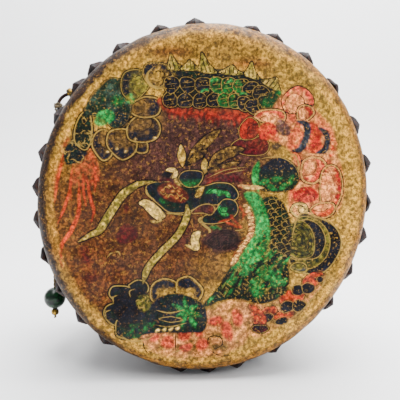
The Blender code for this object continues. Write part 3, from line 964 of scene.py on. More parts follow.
class Artist:
    """Paints the hide: each of the skin's points keeps its colours and its nearest lines."""

    def __init__(self, across, up):
        self.place = np.stack((across, up), axis=1)
        self.ground = np.tile(OCHRE, (len(across), 1))
        self.paint = np.tile(OCHRE, (len(across), 1))
        self.cover = np.zeros(len(across))
        self.lines = {kind: np.tile((FAR, FAR, 0.0), (len(across), 1)) for kind in (GOLD_LINE, INK_LINE)}

    def cloudy(self, at, size, seed=21):
        """Patchy noise from 0 to 1 at some of the skin's points."""
        flat = np.column_stack((self.place[at], np.zeros(len(at))))
        return np.clip(0.5 + 0.8 * lumps(flat, size, seed), 0, 1)

    def trace(self, points, closed=False, reach=4.0):
        """Measure the skin against a smooth line through the given points."""
        line = np.array(smooth_route([np.array(point, float) for point in points], LINE_PARTS, closed))
        low, high = line.min(axis=0) - reach, line.max(axis=0) + reach
        at = np.nonzero(((self.place > low) & (self.place < high)).all(axis=1))[0]
        spots = self.place[at]
        runs = np.diff(line, axis=0)
        lengths = np.linalg.norm(runs, axis=1)
        off = spots[:, None] - line[:-1]
        share = np.clip((off * runs).sum(axis=2) / lengths ** 2, 0, 1)
        gaps = np.linalg.norm(off - share[..., None] * runs, axis=2)
        rows, pick = np.arange(len(at)), gaps.argmin(axis=1)
        gap = gaps[rows, pick]
        turn = runs[pick, 0] * off[rows, pick, 1] - runs[pick, 1] * off[rows, pick, 0]
        before = np.cumsum(lengths) - lengths
        along = (before[pick] + share[rows, pick] * lengths[pick]) / lengths.sum()
        side = np.where(turn < 0, -gap, gap)
        if closed:
            rise = np.where(runs[:, 1] == 0, 1, runs[:, 1])
            crosses = (line[:-1, 1] > spots[:, 1:]) != (line[1:, 1] > spots[:, 1:])
            cut = line[:-1, 0] + (spots[:, 1:] - line[:-1, 1]) / rise * runs[:, 0]
            inside = ((spots[:, :1] < cut) & crosses).sum(axis=1) % 2 == 1
            gap = np.where(inside, -gap, gap)
        return Form(at, gap, side, along)

    def stain(self, points, shade, soft, strength):
        """Tint the ground in a soft area."""
        form = self.trace(points, True, soft)
        share = (strength * np.clip(0.5 - form.gap / (2 * soft), 0, 1))[:, None]
        self.ground[form.at] += (np.array(shade) - self.ground[form.at]) * share

    def lay(self, form, shade, second=None, patch=2.5, soft=0.5, strength=1.0, blend=None):
        """Lay paint on a form, in one colour or blended with a second, over older lines."""
        share = strength * np.clip(0.5 - form.gap / (2 * soft), 0, 1)
        shades = np.tile(shade, (len(form.at), 1))
        if second is not None:
            blend = self.cloudy(form.at, patch) if blend is None else blend
            shades += (np.array(second) - shades) * blend[:, None]
        under = self.cover[form.at] * (1 - share)
        total = np.maximum(share + under, 1e-6)
        old = self.paint[form.at]
        self.paint[form.at] = (shades * share[:, None] + old * under[:, None]) / total[:, None]
        self.cover[form.at] = share + under
        hidden = form.at[share > 0.6]
        for lines in self.lines.values():
            lines[hidden] = (FAR, FAR, 0)

    def rule(self, form, distance, kind, width, taper=0.0):
        """Draw a crisp line where the distance is nought."""
        half = np.full(len(form.at), width / 2)
        if taper:
            half *= np.clip(np.minimum(form.along, 1 - form.along) / taper + 0.15, 0, 1)
        lines = self.lines[kind]
        old = lines[form.at]
        nearer = np.abs(distance) - half < old[:, 1] - old[:, 2]
        fresh = np.stack((distance, np.abs(distance), half), axis=1)
        lines[form.at[nearer]] = fresh[nearer]
        if kind == GOLD_LINE:
            covered = form.at[np.abs(distance) < half]
            self.lines[INK_LINE][covered] = (FAR, FAR, 0)

    def rim(self, form, gold=0.8, ink=0.8):
        """Outline a form in gold with a thin ink line outside it."""
        if gold:
            self.rule(form, form.gap, GOLD_LINE, gold)
        if ink:
            self.rule(form, form.gap - gold / 2 - ink / 2 - 0.05, INK_LINE, ink)

    def blob(self, points, shade, second=None, gold=0.0, ink=0.0, **manner):
        """A painted patch inside the given points, with or without an outline."""
        form = self.trace(points, True)
        self.lay(form, shade, second, **manner)
        if gold or ink:
            self.rim(form, gold, ink)
        return form

    def brush(self, points, width, shade, second=None, taper=0.25, ink=0.0, gold=0.0, **manner):
        """A brush stroke, wide in the middle and pointed at its ends."""
        form = self.trace(points, reach=width / 2 + 3)
        swell = np.clip(np.minimum(form.along, 1 - form.along) / taper, 0.02, 1) ** 0.6 if taper else 1.0
        form.gap = form.gap - width / 2 * swell
        self.lay(form, shade, second, **manner)
        if gold or ink:
            self.rim(form, gold, ink)

    def draw(self, points, kind=GOLD_LINE, width=0.8, taper=0.3):
        """A crisp line through the given points."""
        form = self.trace(points, reach=3)
        self.rule(form, form.side, kind, width, taper)

    def ovals(self, spots, shade, second=None, **manner):
        """Blobs in one paint, each given as the place, size and turn of its oval."""
        for spot in spots:
            self.blob(oval(*spot), shade, second, **manner)

    def strokes(self, rows, shade, second=None, **manner):
        """Brush strokes in one paint, each given as its width and points."""
        for width, *points in rows:
            self.brush(points, width, shade, second, **manner)

    def hatch(self, form, turn, pitch=2.6, kind=GOLD_LINE, width=0.6, margin=0.7):
        """Straight fine lines across a form."""
        inner = form.at[form.gap < -margin]
        spots = self.place[inner]
        distance = (spots[:, 0] * cos(turn) + spots[:, 1] * sin(turn)) / pitch
        distance = (distance - np.round(distance)) * pitch
        self.rule(Form(inner, None, None, None), distance, kind, width)

    def net(self, form, size=3.0, turn=0.0, width=0.42):
        """Rows of small gold arcs with ink under them, like fish scales, over a form."""
        inner = self.place[form.at[form.gap < -0.8]]
        low, high = inner.min(axis=0), inner.max(axis=0)
        for row in range(int((high[1] - low[1]) / size) + 2):
            for step in range(int((high[0] - low[0]) / (2 * size)) + 2):
                stray = [0.5 * size * (lattice([row, step, way], 4) - 0.5) for way in (0, 1)]
                x = low[0] + (2 * step + row % 2) * size + stray[0]
                z = low[1] + row * size + stray[1]
                if np.hypot(*(inner - (x, z)).T).min() >= 1:
                    continue
                for kind, drop, wide in ((INK_LINE, 0.8, width + 0.5), (GOLD_LINE, 0.0, width)):
                    arc = [(-size, -0.5 * size - drop), (0, 0.6 * size - drop), (size, -0.5 * size - drop)]
                    self.draw([(x + a * cos(turn) - u * sin(turn), z + a * sin(turn) + u * cos(turn))
                               for a, u in arc], kind, wide, 0.15)

    def ribs(self, form, pitch, width):
        """Ink lines that follow a form's edge inwards, evenly apart."""
        for number in range(1, 5):
            self.rule(form, form.gap + pitch * number, INK_LINE, width)

    def inside(self, form, count, seed):
        """Some places picked inside a form."""
        inner = self.place[form.at[form.gap < -1]]
        return inner[np.random.default_rng(seed).integers(0, len(inner), count)]

    def scribble(self, form, count, size, width=0.42, seed=3):
        """Small curls drawn freely inside a form."""
        for number, (x, z) in enumerate(self.inside(form, count, seed)):
            turn = 2.4 * number
            self.draw([(x + size * cos(turn + bend), z + size * sin(turn + bend)) for bend in (0, 0.9, 1.9)],
                      GOLD_LINE, width, 0.15)

    def hairs(self, form, count, length, turn, shade, second, width=1.0, seed=4):
        """Short brush hairs combed one way inside a form."""
        for number, (x, z) in enumerate(self.inside(form, count, seed)):
            way = turn + 0.35 * sin(2.1 * number)
            end = (x + length * cos(way), z + length * sin(way))
            self.brush(((x, z), ((x + end[0]) / 2 + 0.3, (z + end[1]) / 2 + 0.3), end), width, shade, second,
                       taper=0.5, patch=1.4, strength=0.8)

    def lobe(self, x, z, wide, high, away, dark=NAVY, core=BRONZE, lift=0.5, size=0.75, gold=1.0, ink=0.9):
        """A cloud's lobe: a tan root, a dark crescent away from it, a tan border with a pale line, ink."""
        form = self.trace(oval(x, z, wide, high), True)
        away = radians(away)
        spots = self.place[form.at] - (x, z)
        apart = np.hypot(spots[:, 0] / wide + lift * cos(away), spots[:, 1] / high + lift * sin(away))
        ragged = 0.3 * (self.cloudy(form.at, 2.6) - 0.5) + 0.2 * (self.cloudy(form.at, 1.3, 6) - 0.5)
        border = 1.9 * gold
        within = np.clip((-form.gap - border) / 0.6 + 0.5, 0, 1)
        crescent = np.clip((apart - size + 0.15 + ragged) / 0.35, 0, 1)
        mottled = np.clip(2.2 * self.cloudy(form.at, 1.9, 5) - 1.2, 0, 0.45)
        self.lay(form, core, dark, blend=np.maximum(crescent, mottled) * within)
        curl = (apart - size + 0.12) * (wide + high) / 2
        inside = (form.gap < -border - 0.6) & (ragged > -0.08)
        self.rule(form, np.where(inside, curl, FAR), INK_LINE, 0.5)
        if gold:
            self.rule(form, form.gap + border, INK_LINE, 0.35)
            self.rule(form, form.gap + border / 2, GOLD_LINE, 0.75 * gold)
        if ink:
            self.rule(form, form.gap, INK_LINE, ink * 0.8)


def oval(x, z, wide, high, turn=0.0):
    """Eight points round an ellipse, a little uneven as a brush leaves it."""
    points = []
    for number in range(8):
        angle = tau * number / 8
        swell = 1 + HAND * sin(2 * angle + x) + HAND * sin(3 * angle + z)
        across, up = wide * swell * cos(angle), high * swell * sin(angle)
        points.append((x + across * cos(turn) - up * sin(turn), z + across * sin(turn) + up * cos(turn)))
    return points


def leaf(art, base, tip, width, shade=OLD_GOLD, second=OCHRE, ink=0.6, gold=0.0):
    """A pointed leaf between two places."""
    art.brush([base, tip], width, shade, second, taper=0.5, ink=ink, gold=gold)


def paint_ground(art):
    """Ochre at the rim, browned and reddened towards the middle by varnish and handling; the rim lighter at
    the right and darker at the left is painted light and shade.
    """
    body = ((-85, 7), (-68, 27), (-35, 47), (-15, 55), (32, 55), (42, 27), (30, -20), (17, -41), (-8, -64),
            (-41, -74), (-68, -66), (-85, -33))
    middle = ((-45, 38), (-12, 52), (28, 50), (34, 22), (10, 2), (-25, -2), (-48, 8))
    for points, shade, soft, strength in (
            (body, CHESTNUT, 9, 1.0),
            (middle, PLUM, 9, 0.9),
            (oval(-70, -52, 16, 22, 0.6), colour(96, 58, 38), 8, 0.8),
            (oval(5, -46, 13, 9), HONEY, 6, 1.0),
            (oval(-52, -8, 22, 16), colour(104, 74, 42), 8, 0.6),
            (oval(14.5, -27, 12, 9), colour(82, 44, 40), 3, 1.0),
            (oval(-12, -24, 9, 7, 0.9), colour(84, 44, 44), 4, 0.7),
            (oval(0, 102, 70, 12), colour(140, 112, 54), 8, 0.6),
            (oval(32, 90, 12, 3), colour(128, 68, 44), 3, 0.7),
            (oval(-20, 97, 13, 3), colour(124, 76, 42), 3, 0.7),
            (oval(38, 26, 13, 9), PLUM, 5, 0.7),
            (oval(70, 78, 16, 9, -0.8), colour(160, 136, 70), 7, 0.7),
            # Painted light and shade: the rim lighter at the right, darker at the left and lower left, as if
            # lit from the right.
            (oval(96, 10, 8, 40), colour(192, 158, 84), 8, 0.7),
            (oval(-96, -5, 9, 30), colour(158, 118, 60), 8, 0.7),
            (oval(-84, -48, 6, 26, 0.7), colour(140, 92, 42), 6, 0.6)):
        art.stain(points, shade, soft, strength)


def paint_flames(art):
    """Orange flames that trail down the left side from the small cloud."""
    art.strokes(((2.5, (-87, 41), (-93, 32)), (3.5, (-89, 34), (-94, 20), (-97, 6)),
                 (5, (-73, 37), (-81, 22), (-84, 10)), (5, (-72, 34), (-76, 20), (-79, 10)),
                 (4.5, (-71, 31), (-71, 18), (-74, 9)), (2.5, (-70, 27), (-68, 12))),
                ORANGE, RUST, taper=0.35, patch=1.8, strength=0.6, soft=0.9)
    art.strokes(((2.6, (-81, 14), (-81, 3), (-81.5, -8), (-87, -21), (-92, -28), (-93.5, -37), (-92.5, -46)),
                 (2.0, (-85, 14), (-88, 3), (-91, -6), (-95, -15)),
                 (2.0, (-76, 16), (-74, 3), (-71.5, -7), (-73.5, -15)),
                 (1.6, (-91, 30), (-95, 12), (-97, -2)), (1.4, (-78, 18), (-78, 6), (-76.5, -4)),
                 (1.4, (-84, 26), (-86.5, 12), (-86, 0)), (1.2, (-72, 26), (-70, 14), (-71, 5))),
                FLAME, ORANGE, taper=0.4, patch=2.2, strength=0.88, soft=0.5)
    art.blob(oval(-50, -22.7, 7.2, 6.6), MAROON, soft=0.7, strength=0.85)
    art.blob(oval(-77, -37, 3.5, 6, 0.3), MAROON, soft=2.5, strength=0.7)
    art.blob(oval(-74, -51, 4, 3), MAROON, soft=2.5, strength=0.6)
    art.blob(oval(-50, -5, 1.8, 3), MAROON, soft=1, strength=0.6)
    art.draw(((-63, -38), (-61, -35.5), (-59, -35)))
    art.draw(((-58, -34.5), (-55.5, -34.5), (-54.5, -37)))


def paint_upper_clouds(art):
    """Navy and green cloud at the upper left, its lobes rolled outwards."""
    small = art.blob(oval(-83, 32, 7.5, 9, -0.6), DEEP_GREEN, NAVY)
    art.scribble(small, 9, 2.0)
    art.scribble(small, 6, 1.6, width=0.7, seed=8)
    edge = art.blob(((-74, 58), (-79, 56), (-83, 47), (-83, 38), (-77, 33), (-73, 38), (-72, 48)),
                    DEEP_GREEN, INK, gold=0.7, ink=0.8)
    art.scribble(edge, 14, 2.2, width=0.6)
    for place in ((-65, 36.5, 8, 10.5, 225), (-41, 36, 6.5, 6, 285), (-52.5, 37.5, 11.5, 10.5, 250),
                  (-38.5, 47, 12.5, 10, 290), (-37, 61, 11, 8, 350)):
        art.lobe(*place)
    mass = art.blob(((-77, 58), (-68, 74), (-57, 80), (-48, 74), (-46, 64), (-49, 52), (-58, 47), (-66, 54)),
                    WORN_GREEN, DEEP_GREEN, patch=5)
    shadow = art.trace(oval(-54, 54, 8, 5, -0.4), True)
    art.lay(shadow, NAVY, soft=2.5, strength=0.8)
    for x, z, tall in ((-69, 66, 9), (-65, 70, 10), (-61, 72, 12), (-57, 73, 9), (-53, 70, 8)):
        art.brush(((x, z), (x + 0.6, z - tall)), 1.2, SLATE, LEAF_GREEN, strength=0.4)
    art.rim(mass, 0, 0.5)
    art.blob(oval(-64, 54, 7.5, 4.5, 0.5), JADE, LEAF_GREEN, patch=2, strength=0.85)
    art.blob(oval(-55, 65, 4, 3.4), LEAF_GREEN, soft=1.6, strength=0.7)
    art.lobe(-44, 76, 10, 10.5, 175, NAVY, OLIVE, gold=0.6)
    art.lobe(-29, 82, 9.8, 9.4, 60, NAVY, OCHRE, lift=0.12, size=0.5, gold=0.5)
    art.draw(((-32, 87), (-36, 82), (-34, 76), (-28, 74), (-24, 77)), GOLD_LINE, 1.5)
    art.draw(((-31, 83), (-28, 85), (-24.5, 83), (-26, 79)), INK_LINE, 0.8)
    art.blob(oval(-47, 66.5, 2.6, 3.4), OLIVE, JADE, patch=1.5)
    art.ovals([(x, z, 0.8, 0.8) for x, z in ((-56, 34), (-50, 32), (-62, 32), (-31, 41), (-44, 40))],
              CREAM, soft=0.5, strength=0.8)


def scale(art, x, z, size, turn, tint=DEEP_GREEN):
    """One scale: a dark horseshoe, fine gold hairs in it and a pale rim."""
    form = art.blob(oval(x, z, size, size * 0.95), INK, tint, patch=1.5, soft=0.35)
    art.hatch(form, turn + pi / 2, 3.0, width=0.22, margin=1.6)
    art.rim(form, 0.3, 0.8)


def scale_row(art, path, count, size, turn, green):
    """Scales set evenly along a curve, each over the one before."""
    line = np.array(smooth_route([np.array(point, float) for point in path], 12))
    for number in range(count):
        x, z = line[round((len(line) - 1) * number / (count - 1))]
        scale(art, x, z, size, turn, tint=LEAF_GREEN if number in green else NAVY)


def paint_far_body(art):
    """The far turn of the dragon's back at the top, with its fins, scales and red belly."""
    art.stain(((-27, 62), (0, 60), (30, 57), (35, 42), (30, 24), (0, 20), (-28, 22), (-24, 42)), PLUM, 3, 0.9)
    art.blob(((-28, 68), (-24, 58), (-8, 55), (10, 53.5), (24, 52.5), (35, 51), (38, 58), (22, 63), (0, 65)),
             BRICK, RUST, soft=0.8, strength=0.88, patch=1.8)
    for number in range(16):
        x = -22 + 3.6 * number
        drop = 6 + 3 * lattice([number, 3, 1], 8)
        art.brush(((x, 61 - number * 0.35), (x + 0.4, 61 - drop - number * 0.4)), 1.6, BRICK, MAROON,
                  strength=0.7, soft=0.8)
    art.brush(((-20, 84), (-4, 83.5), (14, 83), (30, 81), (40, 77), (48, 71)), 6.5, NAVY, DEEP_GREEN,
              taper=0.12)
    fins = (((-23, 86), (-20.5, 96), (-12, 86)), ((-14, 86), (-8, 92), (-1, 86)),
            ((-2, 85), (0, 97), (10, 84)), ((11, 84), (20, 89), (28, 83)),
            ((28, 83), (33, 91.5), (38, 80)), ((39, 79), (50, 81), (52, 72)))
    for left, tip, right in fins:
        middle = ((left[0] + right[0]) / 2, (left[1] + right[1]) / 2)
        bend = (tip[0] * 0.55 + right[0] * 0.45, tip[1] * 0.45 + right[1] * 0.55)
        hollow = (tip[0] * 0.6 + left[0] * 0.4, tip[1] * 0.6 + left[1] * 0.4)
        fin = art.blob((left, hollow, tip, bend, right, (middle[0], middle[1] - 1)), OLD_GOLD, OLIVE, ink=0.7)
        art.hatch(fin, atan2(tip[1] - middle[1], tip[0] - middle[0]) + pi / 2, 2.6, INK_LINE, 0.7, 0.6)
    art.brush(((-24, 71), (-4, 71.5), (14, 71), (30, 69), (42, 64)), 21, INK, DEEP_GREEN, taper=0.08, patch=3)
    scale_row(art, ((-21, 66), (-4, 65.5), (12, 66), (24, 65), (34, 62)), 8, 5.2, 0.2, green=(4, 5))
    scale_row(art, ((-20, 76), (-2, 76), (14, 76), (28, 75), (39, 71)), 8, 5.5, 0.1, green=(3, 4, 5))
    scale(art, 42, 64, 5.6, 1.0)
    art.blob(((40, 64), (45, 71), (52, 73), (53, 66), (49, 60), (43, 58)), LEAF_GREEN, DEEP_GREEN, patch=4)
    art.strokes([(1.1, (x - 3, z - 1), (x, z + 0.8), (x + 3, z))
                 for x, z in ((8, 79), (14, 71), (19, 78), (27, 70), (2, 72))], JADE, strength=0.85)


def paint_right_clouds(art):
    """Peach, red and orange clouds down the right side, with navy streaks."""
    art.blob(((46, 58), (56, 72), (70, 73), (76, 60), (88, 48), (90, 34), (96, 12), (92, -8), (78, -12),
              (62, -12), (58, 4), (62, 20), (58, 34), (44, 42)), PEACH, ROSE, patch=5, soft=1.2, strength=0.8)
    art.lobe(64, 66, 10.5, 10, 40, ROSE, PEACH, lift=0.25, gold=0)
    art.lobe(69, 58, 6.5, 6, 20, RED, PEACH, gold=0.8)
    art.lobe(46, 55.5, 10.5, 6, 80, ROSE, PEACH, gold=0.8)
    art.lobe(33, 36, 12.5, 7.5, 240, MAROON, RUST, gold=0.5, ink=0.5)
    art.lobe(31.5, 47, 7.5, 8, 150, BRICK, RUST, gold=0.5, ink=0.4)
    art.blob(oval(44, 46, 6.5, 6), ORANGE, RED, patch=3)
    art.brush(((66, 52), (69.5, 46), (67, 39), (61, 33)), 7, ORANGE, PEACH, patch=3)
    art.brush(((73, 52), (76, 43), (76, 35), (72, 32)), 8, ORANGE, RED, patch=3)
    art.brush(((87, 43), (89, 36), (86, 28)), 4, ORANGE, PEACH, patch=2)
    art.blob(oval(54, 48, 5, 6, 0.5), SLATE, UMBER, patch=1.5, strength=0.85, soft=0.8)
    art.blob(oval(50, 36, 3.4, 2.6), NAVY, UMBER, patch=1.5, strength=0.85, soft=0.8)
    art.brush(((63, 53), (70, 50), (70, 42), (66, 34), (60, 33)), 5, NAVY, SLATE, patch=2)
    art.brush(((78, 49), (84, 43), (83, 34), (76, 31)), 4.5, NAVY, SLATE, patch=2)
    art.draw(((56, 30), (62, 30), (65, 24), (65, 17)), GOLD_LINE, 1.0)
    art.draw(((57, 32), (64, 31.5), (67, 25), (67, 16)), INK_LINE, 0.6)
    art.lobe(75, 20, 10, 9.5, 330, ROSE, PEACH, gold=1.0, ink=0.8)
    art.lobe(87, 7, 9, 17, 350, RED, PEACH, lift=0.35, gold=0.8)
    art.lobe(70, 3, 8.5, 6, 100, RED, ROSE, gold=0, ink=0)
    art.lobe(82, -7, 9, 6, 300, ORANGE, PEACH, gold=0.8)
    art.lobe(66, -7.5, 6.5, 6, 200, PEACH, CREAM, gold=1.0)
    art.draw(((63, -8), (66, -4), (69.5, -7), (67, -11), (64, -9)), INK_LINE, 0.6)


def paint_dark_lobe(art):
    """Dark green knob of the mane behind the head."""
    form = art.blob(oval(51, 16, 14.5, 12), DEEP_GREEN, NAVY, patch=5, gold=0, ink=0.5)
    art.lay(form, DEEP_GREEN, NAVY, blend=np.clip((art.place[form.at, 1] - 14) / 8, 0, 1))
    tufts = ((42, 12, 0.4), (47, 8, -0.4), (55, 9, 0.6), (60, 13, 1.2), (50, 14, 0.1))
    art.ovals([(x, z, 3.6, 1.6, turn) for x, z, turn in tufts], LEAF_GREEN, JADE, patch=1.5, strength=0.7)
    art.brush(((38, 26), (35.5, 16), (38, 5)), 4.5, JADE, LEAF_GREEN, patch=2)
    art.draw(((38, 27), (45, 28.5), (54, 28), (62, 23), (66, 15)), GOLD_LINE, 0.6)


def paint_antlers(art):
    """Two antlers of pale gold with dark curls, and the leaves at their roots."""
    leaf(art, (-13, 22), (-14, 37), 5.8)
    leaf(art, (1.8, 17), (1.8, 28), 5.2)
    for width, *points in ((6.5, (-10, 23.5), (-3, 33), (3, 39), (12, 46.5)),
                           (4.5, (-9, 24), (-3, 29), (3, 33)),
                           (7, (4, 21), (11, 28), (19, 32), (28, 34)),
                           (4.8, (4, 18), (13, 21), (25, 25))):
        art.brush(points, width, colour(158, 132, 74), UMBER, taper=0.3, ink=0.8, patch=1.6)
        line = np.array(smooth_route([np.array(point, float) for point in points], 8))
        for number in range(2, len(line) - 3, 3):
            x, z = line[number]
            bend = 1.1 if number % 2 else -1.1
            art.draw(((x - 1.4, z + 0.9), (x + bend * 0.4, z + bend), (x + 1.4, z - 0.9)), INK_LINE, 0.5, 0)


def paint_head(art):
    """The dragon's head in profile, snout to the left and jaws open."""
    art.brush(((-1, 8.5), (7, 14), (17, 17.5), (30, 20)), 8, MAROON, PLUM, patch=2, strength=0.9)
    art.brush(((4, 14), (14, 18), (25, 20.5)), 1.6, WINE, RUST, patch=1.5)
    art.brush(((0, 8), (6, 12), (11, 14.5)), 1.4, BRICK, RUST, patch=1.5)
    art.brush(((12, 12), (20, 14), (28, 13)), 4.5, DUSK, MAROON, patch=1.5)
    art.draw(((3, 14.5), (16, 20), (30, 22)), GOLD_LINE, 0.5)
    art.draw(((14, 17), (22, 19), (29, 20)), GOLD_LINE, 0.5)
    art.brush(((24, 9.5), (31, 8.6), (41, 8)), 2.6, ROSE, CREAM, patch=2)
    art.draw(((27, 9), (34, 8.7), (42, 8.2)), GOLD_LINE, 0.9)
    art.blob(((-37, 9), (-31, 12), (-20, 12), (-8, 9), (2, 9.5), (10, 11.5), (19, 10.5), (24, 5), (23, 0.5),
              (14, -3), (2, -3.5), (-6, -6.5), (-13, -8.5), (-22, -8), (-28, -3.5), (-35, 3)),
             NAVY, DEEP_GREEN, patch=4, gold=0.55, ink=0.6)
    art.blob(((14, 0), (21, -0.3), (24, -4.5), (23, -9.5), (17, -14.2), (7, -16), (0.5, -15), (1, -11),
              (8, -8)), DEEP_GREEN, NAVY, patch=3, gold=0.5, ink=0.6)
    art.blob(((-29.5, 8), (-25, 11.3), (-18, 11.5), (-12.5, 7), (-9, 2.5), (-12, -1.6), (-20, -1),
              (-27, 2.5)), WINE, RUST, patch=1.7)
    flecks = ((-26, 6), (-22, 9.5), (-19, 5.5), (-15, 6.5), (-17, 2), (-23, 2.5))
    art.ovals([(x, z, 1.3, 0.9, x) for x, z in flecks], colour(160, 92, 58), GILT, patch=1.0, strength=0.8)
    for x, z, bend in ((-24, 8, 1), (-18, 8.5, -1), (-21, 3, 1), (-15, 3.5, -1), (-12.5, 0.5, 1),
                       (-26, 4.5, -1)):
        art.draw(((x - 1.6, z - bend), (x, z + bend), (x + 1.8, z)), GOLD_LINE, 0.55, 0)
    art.brush(((-30, 12.5), (-22, 13.5), (-15, 10)), 2, MAROON, DUSK)
    art.strokes(((2.6, (3, 5), (9, 6), (14, 3.5)), (2.6, (10, 3), (15, 5), (19, 1.5)),
                 (2.8, (11, -4), (14, -9), (18, -10)), (2, (-28, 1), (-25, -2))), JADE, LEAF_GREEN, patch=1.6)
    art.draw(((2, 3), (8, 7.5), (16, 7), (20, 3)), INK_LINE, 0.6)
    art.blob(oval(14.5, -6.5, 2.4, 2), LEAF_GREEN, JADE, patch=1.2, ink=0.5)
    socket = art.blob(((-15.5, 14), (-12.5, 18.7), (-6, 19.6), (0, 18.3), (0, 13.5), (-4, 9.2),
                       (-10.5, 8.8)), NAVY, gold=0.5, ink=0.6)
    art.lay(socket, NAVY, LEAF_GREEN, blend=np.clip((14.5 - art.place[socket.at, 1]) / 4, 0, 0.8))
    art.rim(socket, 0.5)
    art.brush(((-16.5, 17), (-17, 12.5), (-14, 9.5)), 1.8, OLD_GOLD, OCHRE)
    art.blob(oval(-23.5, 17, 3, 2.4), INK, NAVY)
    art.brush(((-24, 19.8), (-19, 20), (-17.5, 17), (-20, 14.5)), 3.2, OLD_GOLD, CREAM, ink=0.5)
    art.blob(((-3, 7), (1.5, 9), (0, 4), (-3, 1.5), (-5, 3), (-3.5, 5)), OLD_GOLD, OCHRE, ink=0.4)
    art.blob(((-7.3, -8.6), (-1.5, -3.8), (5, -2.8), (8.5, -5.8), (6, -10), (0.5, -8.8)), WINE, DUSK,
             patch=3, gold=0.6)
    for width, *points in ((1.0, (-37, 8), (-36.5, 4), (-31.5, 0)), (1.1, (-24, -8.6), (-12, -9.8)),
                           (1.5, (1, -11), (-2, -13.5), (2, -17.5), (5, -20), (4.5, -24), (1, -24)),
                           (0.9, (7, -17.5), (11, -18.5), (15, -20))):
        art.draw(points, GOLD_LINE, width, 0.15)
    leaf(art, (5, -18), (13, -19.5), 3, DEEP_GREEN, JADE, ink=0)
    art.strokes(((1.3, (11, -15), (18, -13), (21, -10.5)), (1.3, (19, -10), (23, -15), (28, -20)),
                 (1.3, (15, -14), (21, -17), (26, -19)), (1.3, (24, -4), (28, -8), (27, -14))),
                RUST, EMBER, patch=2, strength=0.85)
    art.draw(((21, -20.5), (25, -20.5), (29, -19)), GOLD_LINE, 0.7)
    disc = art.blob(oval(13.8, -27, 12, 8.6), colour(72, 56, 50), DUSK, patch=4, soft=0.9, strength=0.9)
    art.ribs(disc, 1.7, 0.4)
    for number in range(4):
        reach = 8.5 - 1.8 * number
        art.draw(((14.5 - reach, -25), (13.5, -27 - reach * 0.7), (14.5 + reach, -26)), INK_LINE, 0.35)


def paint_whiskers(art):
    """The long whiskers and the two tusks."""
    art.brush(((-32, 12.5), (-41, 11), (-45, 9), (-52, 4), (-57.5, -3.5), (-63, -12), (-68, -20),
               (-73, -22.5), (-82, -27.5)), 5.2, OLD_GOLD, OLIVE, taper=0.3, ink=0.9, patch=1.6)
    art.brush(((-10.4, -2.5), (-9.8, -9), (-12, -16), (-17, -24.5), (-26, -33.5), (-32, -40), (-37, -47),
               (-39.5, -56)), 4.4, OLD_GOLD, OLIVE, taper=0.12, ink=0.9, patch=1.6)
    art.blob(((-42, -2), (-38, 0.5), (-32, -2), (-25, -9), (-25.5, -12), (-30, -13), (-35, -9), (-39, -4.5)),
             OLD_GOLD, CREAM, ink=0.8, patch=2)
    art.brush(((-26, -13), (-30, -14.5), (-34.5, -14)), 1.3, OLD_GOLD)
    art.blob(((-6, -22), (-1, -21), (-2, -27), (-1.8, -33), (-6.5, -33.5), (-7.5, -27)), OLD_GOLD, CREAM,
             ink=0.6, patch=2)
    art.brush(((-11, -30), (-8, -31.5), (-5, -33.5)), 1.3, OLD_GOLD)


def paint_near_body(art):
    """The near turn of the body: green with a gold net, a bright belly and its beaded edge."""
    back = art.blob(((39, 0), (50, 2), (58, -8), (61, -26), (58, -42), (47, -42), (45, -20), (42, -8)),
                    INK, DEEP_GREEN, patch=4)
    art.net(back, 3.0, 1.2, 0.28)
    body = art.blob(((20, -44), (30, -36), (40, -33), (52, -38), (59, -46), (59, -60), (52, -67), (40, -71),
                     (26, -68), (14, -68), (4, -72), (1, -70), (9, -61), (15, -52)), DEEP_GREEN, INK, patch=4)
    art.hairs(body, 70, 6, 0.9, LEAF_GREEN, JADE, 1.4)
    art.hairs(body, 34, 5, 1.1, DEEP_GREEN, INK, 1.0, seed=9)
    art.hairs(body, 26, 5, 1.0, OLD_GOLD, OLIVE, 0.7, seed=12)
    for x, z, turn in ((18, -58, 0.9), (24, -62, 0.9), (30, -57, 0.8), (12, -64, 0.8), (46, -66, 0.2),
                       (38, -67, 0.4), (53, -62, -0.2)):
        dark = art.blob(oval(x, z, 4.6, 2.6, turn), INK, DEEP_GREEN, patch=2)
        art.hatch(dark, turn, 2.6, GOLD_LINE, 0.4, 0.5)
    art.ovals(((37, -60, 5, 6, 0.6), (43, -50, 6, 4, 0.6), (30, -47, 5, 3, 0.6), (50, -55, 4, 4, 0.6),
               (20, -55, 4, 2.4, 0.6)), LEAF_GREEN, JADE, patch=2, strength=0.6, soft=1.2)
    art.blob(((28, 4), (38, 4), (43.5, -8), (45.7, -20), (45, -30), (40, -40), (28, -45), (20, -46),
              (25, -38), (31, -28), (35.5, -18), (34.5, -8)), JADE, LEAF_GREEN, patch=7, soft=0.7)
    nicks = ((42, -24, 1.2), (38, -30, 0.4), (43, -33, 1.5), (35, -35, 0.9), (41, -38, 0.2))
    art.ovals([(x, z, 2.2, 0.9, turn) for x, z, turn in nicks], INK, DEEP_GREEN, strength=0.9)
    edge = ((29.5, -4), (32.5, -12), (33.3, -21), (29.5, -28), (25, -35), (19.5, -45))
    art.brush(edge, 4.5, MAROON, RED, taper=0.1, patch=2)
    line = np.array(smooth_route([np.array(point, float) for point in edge], 4))
    for number, (x, z) in enumerate(line[:-1]):
        tilt = 0.5 if number % 2 else -0.1
        art.blob(oval(x, z, 2.3, 1.2, tilt), CREAM, PEACH, patch=1.5, soft=0.4, ink=0.3)


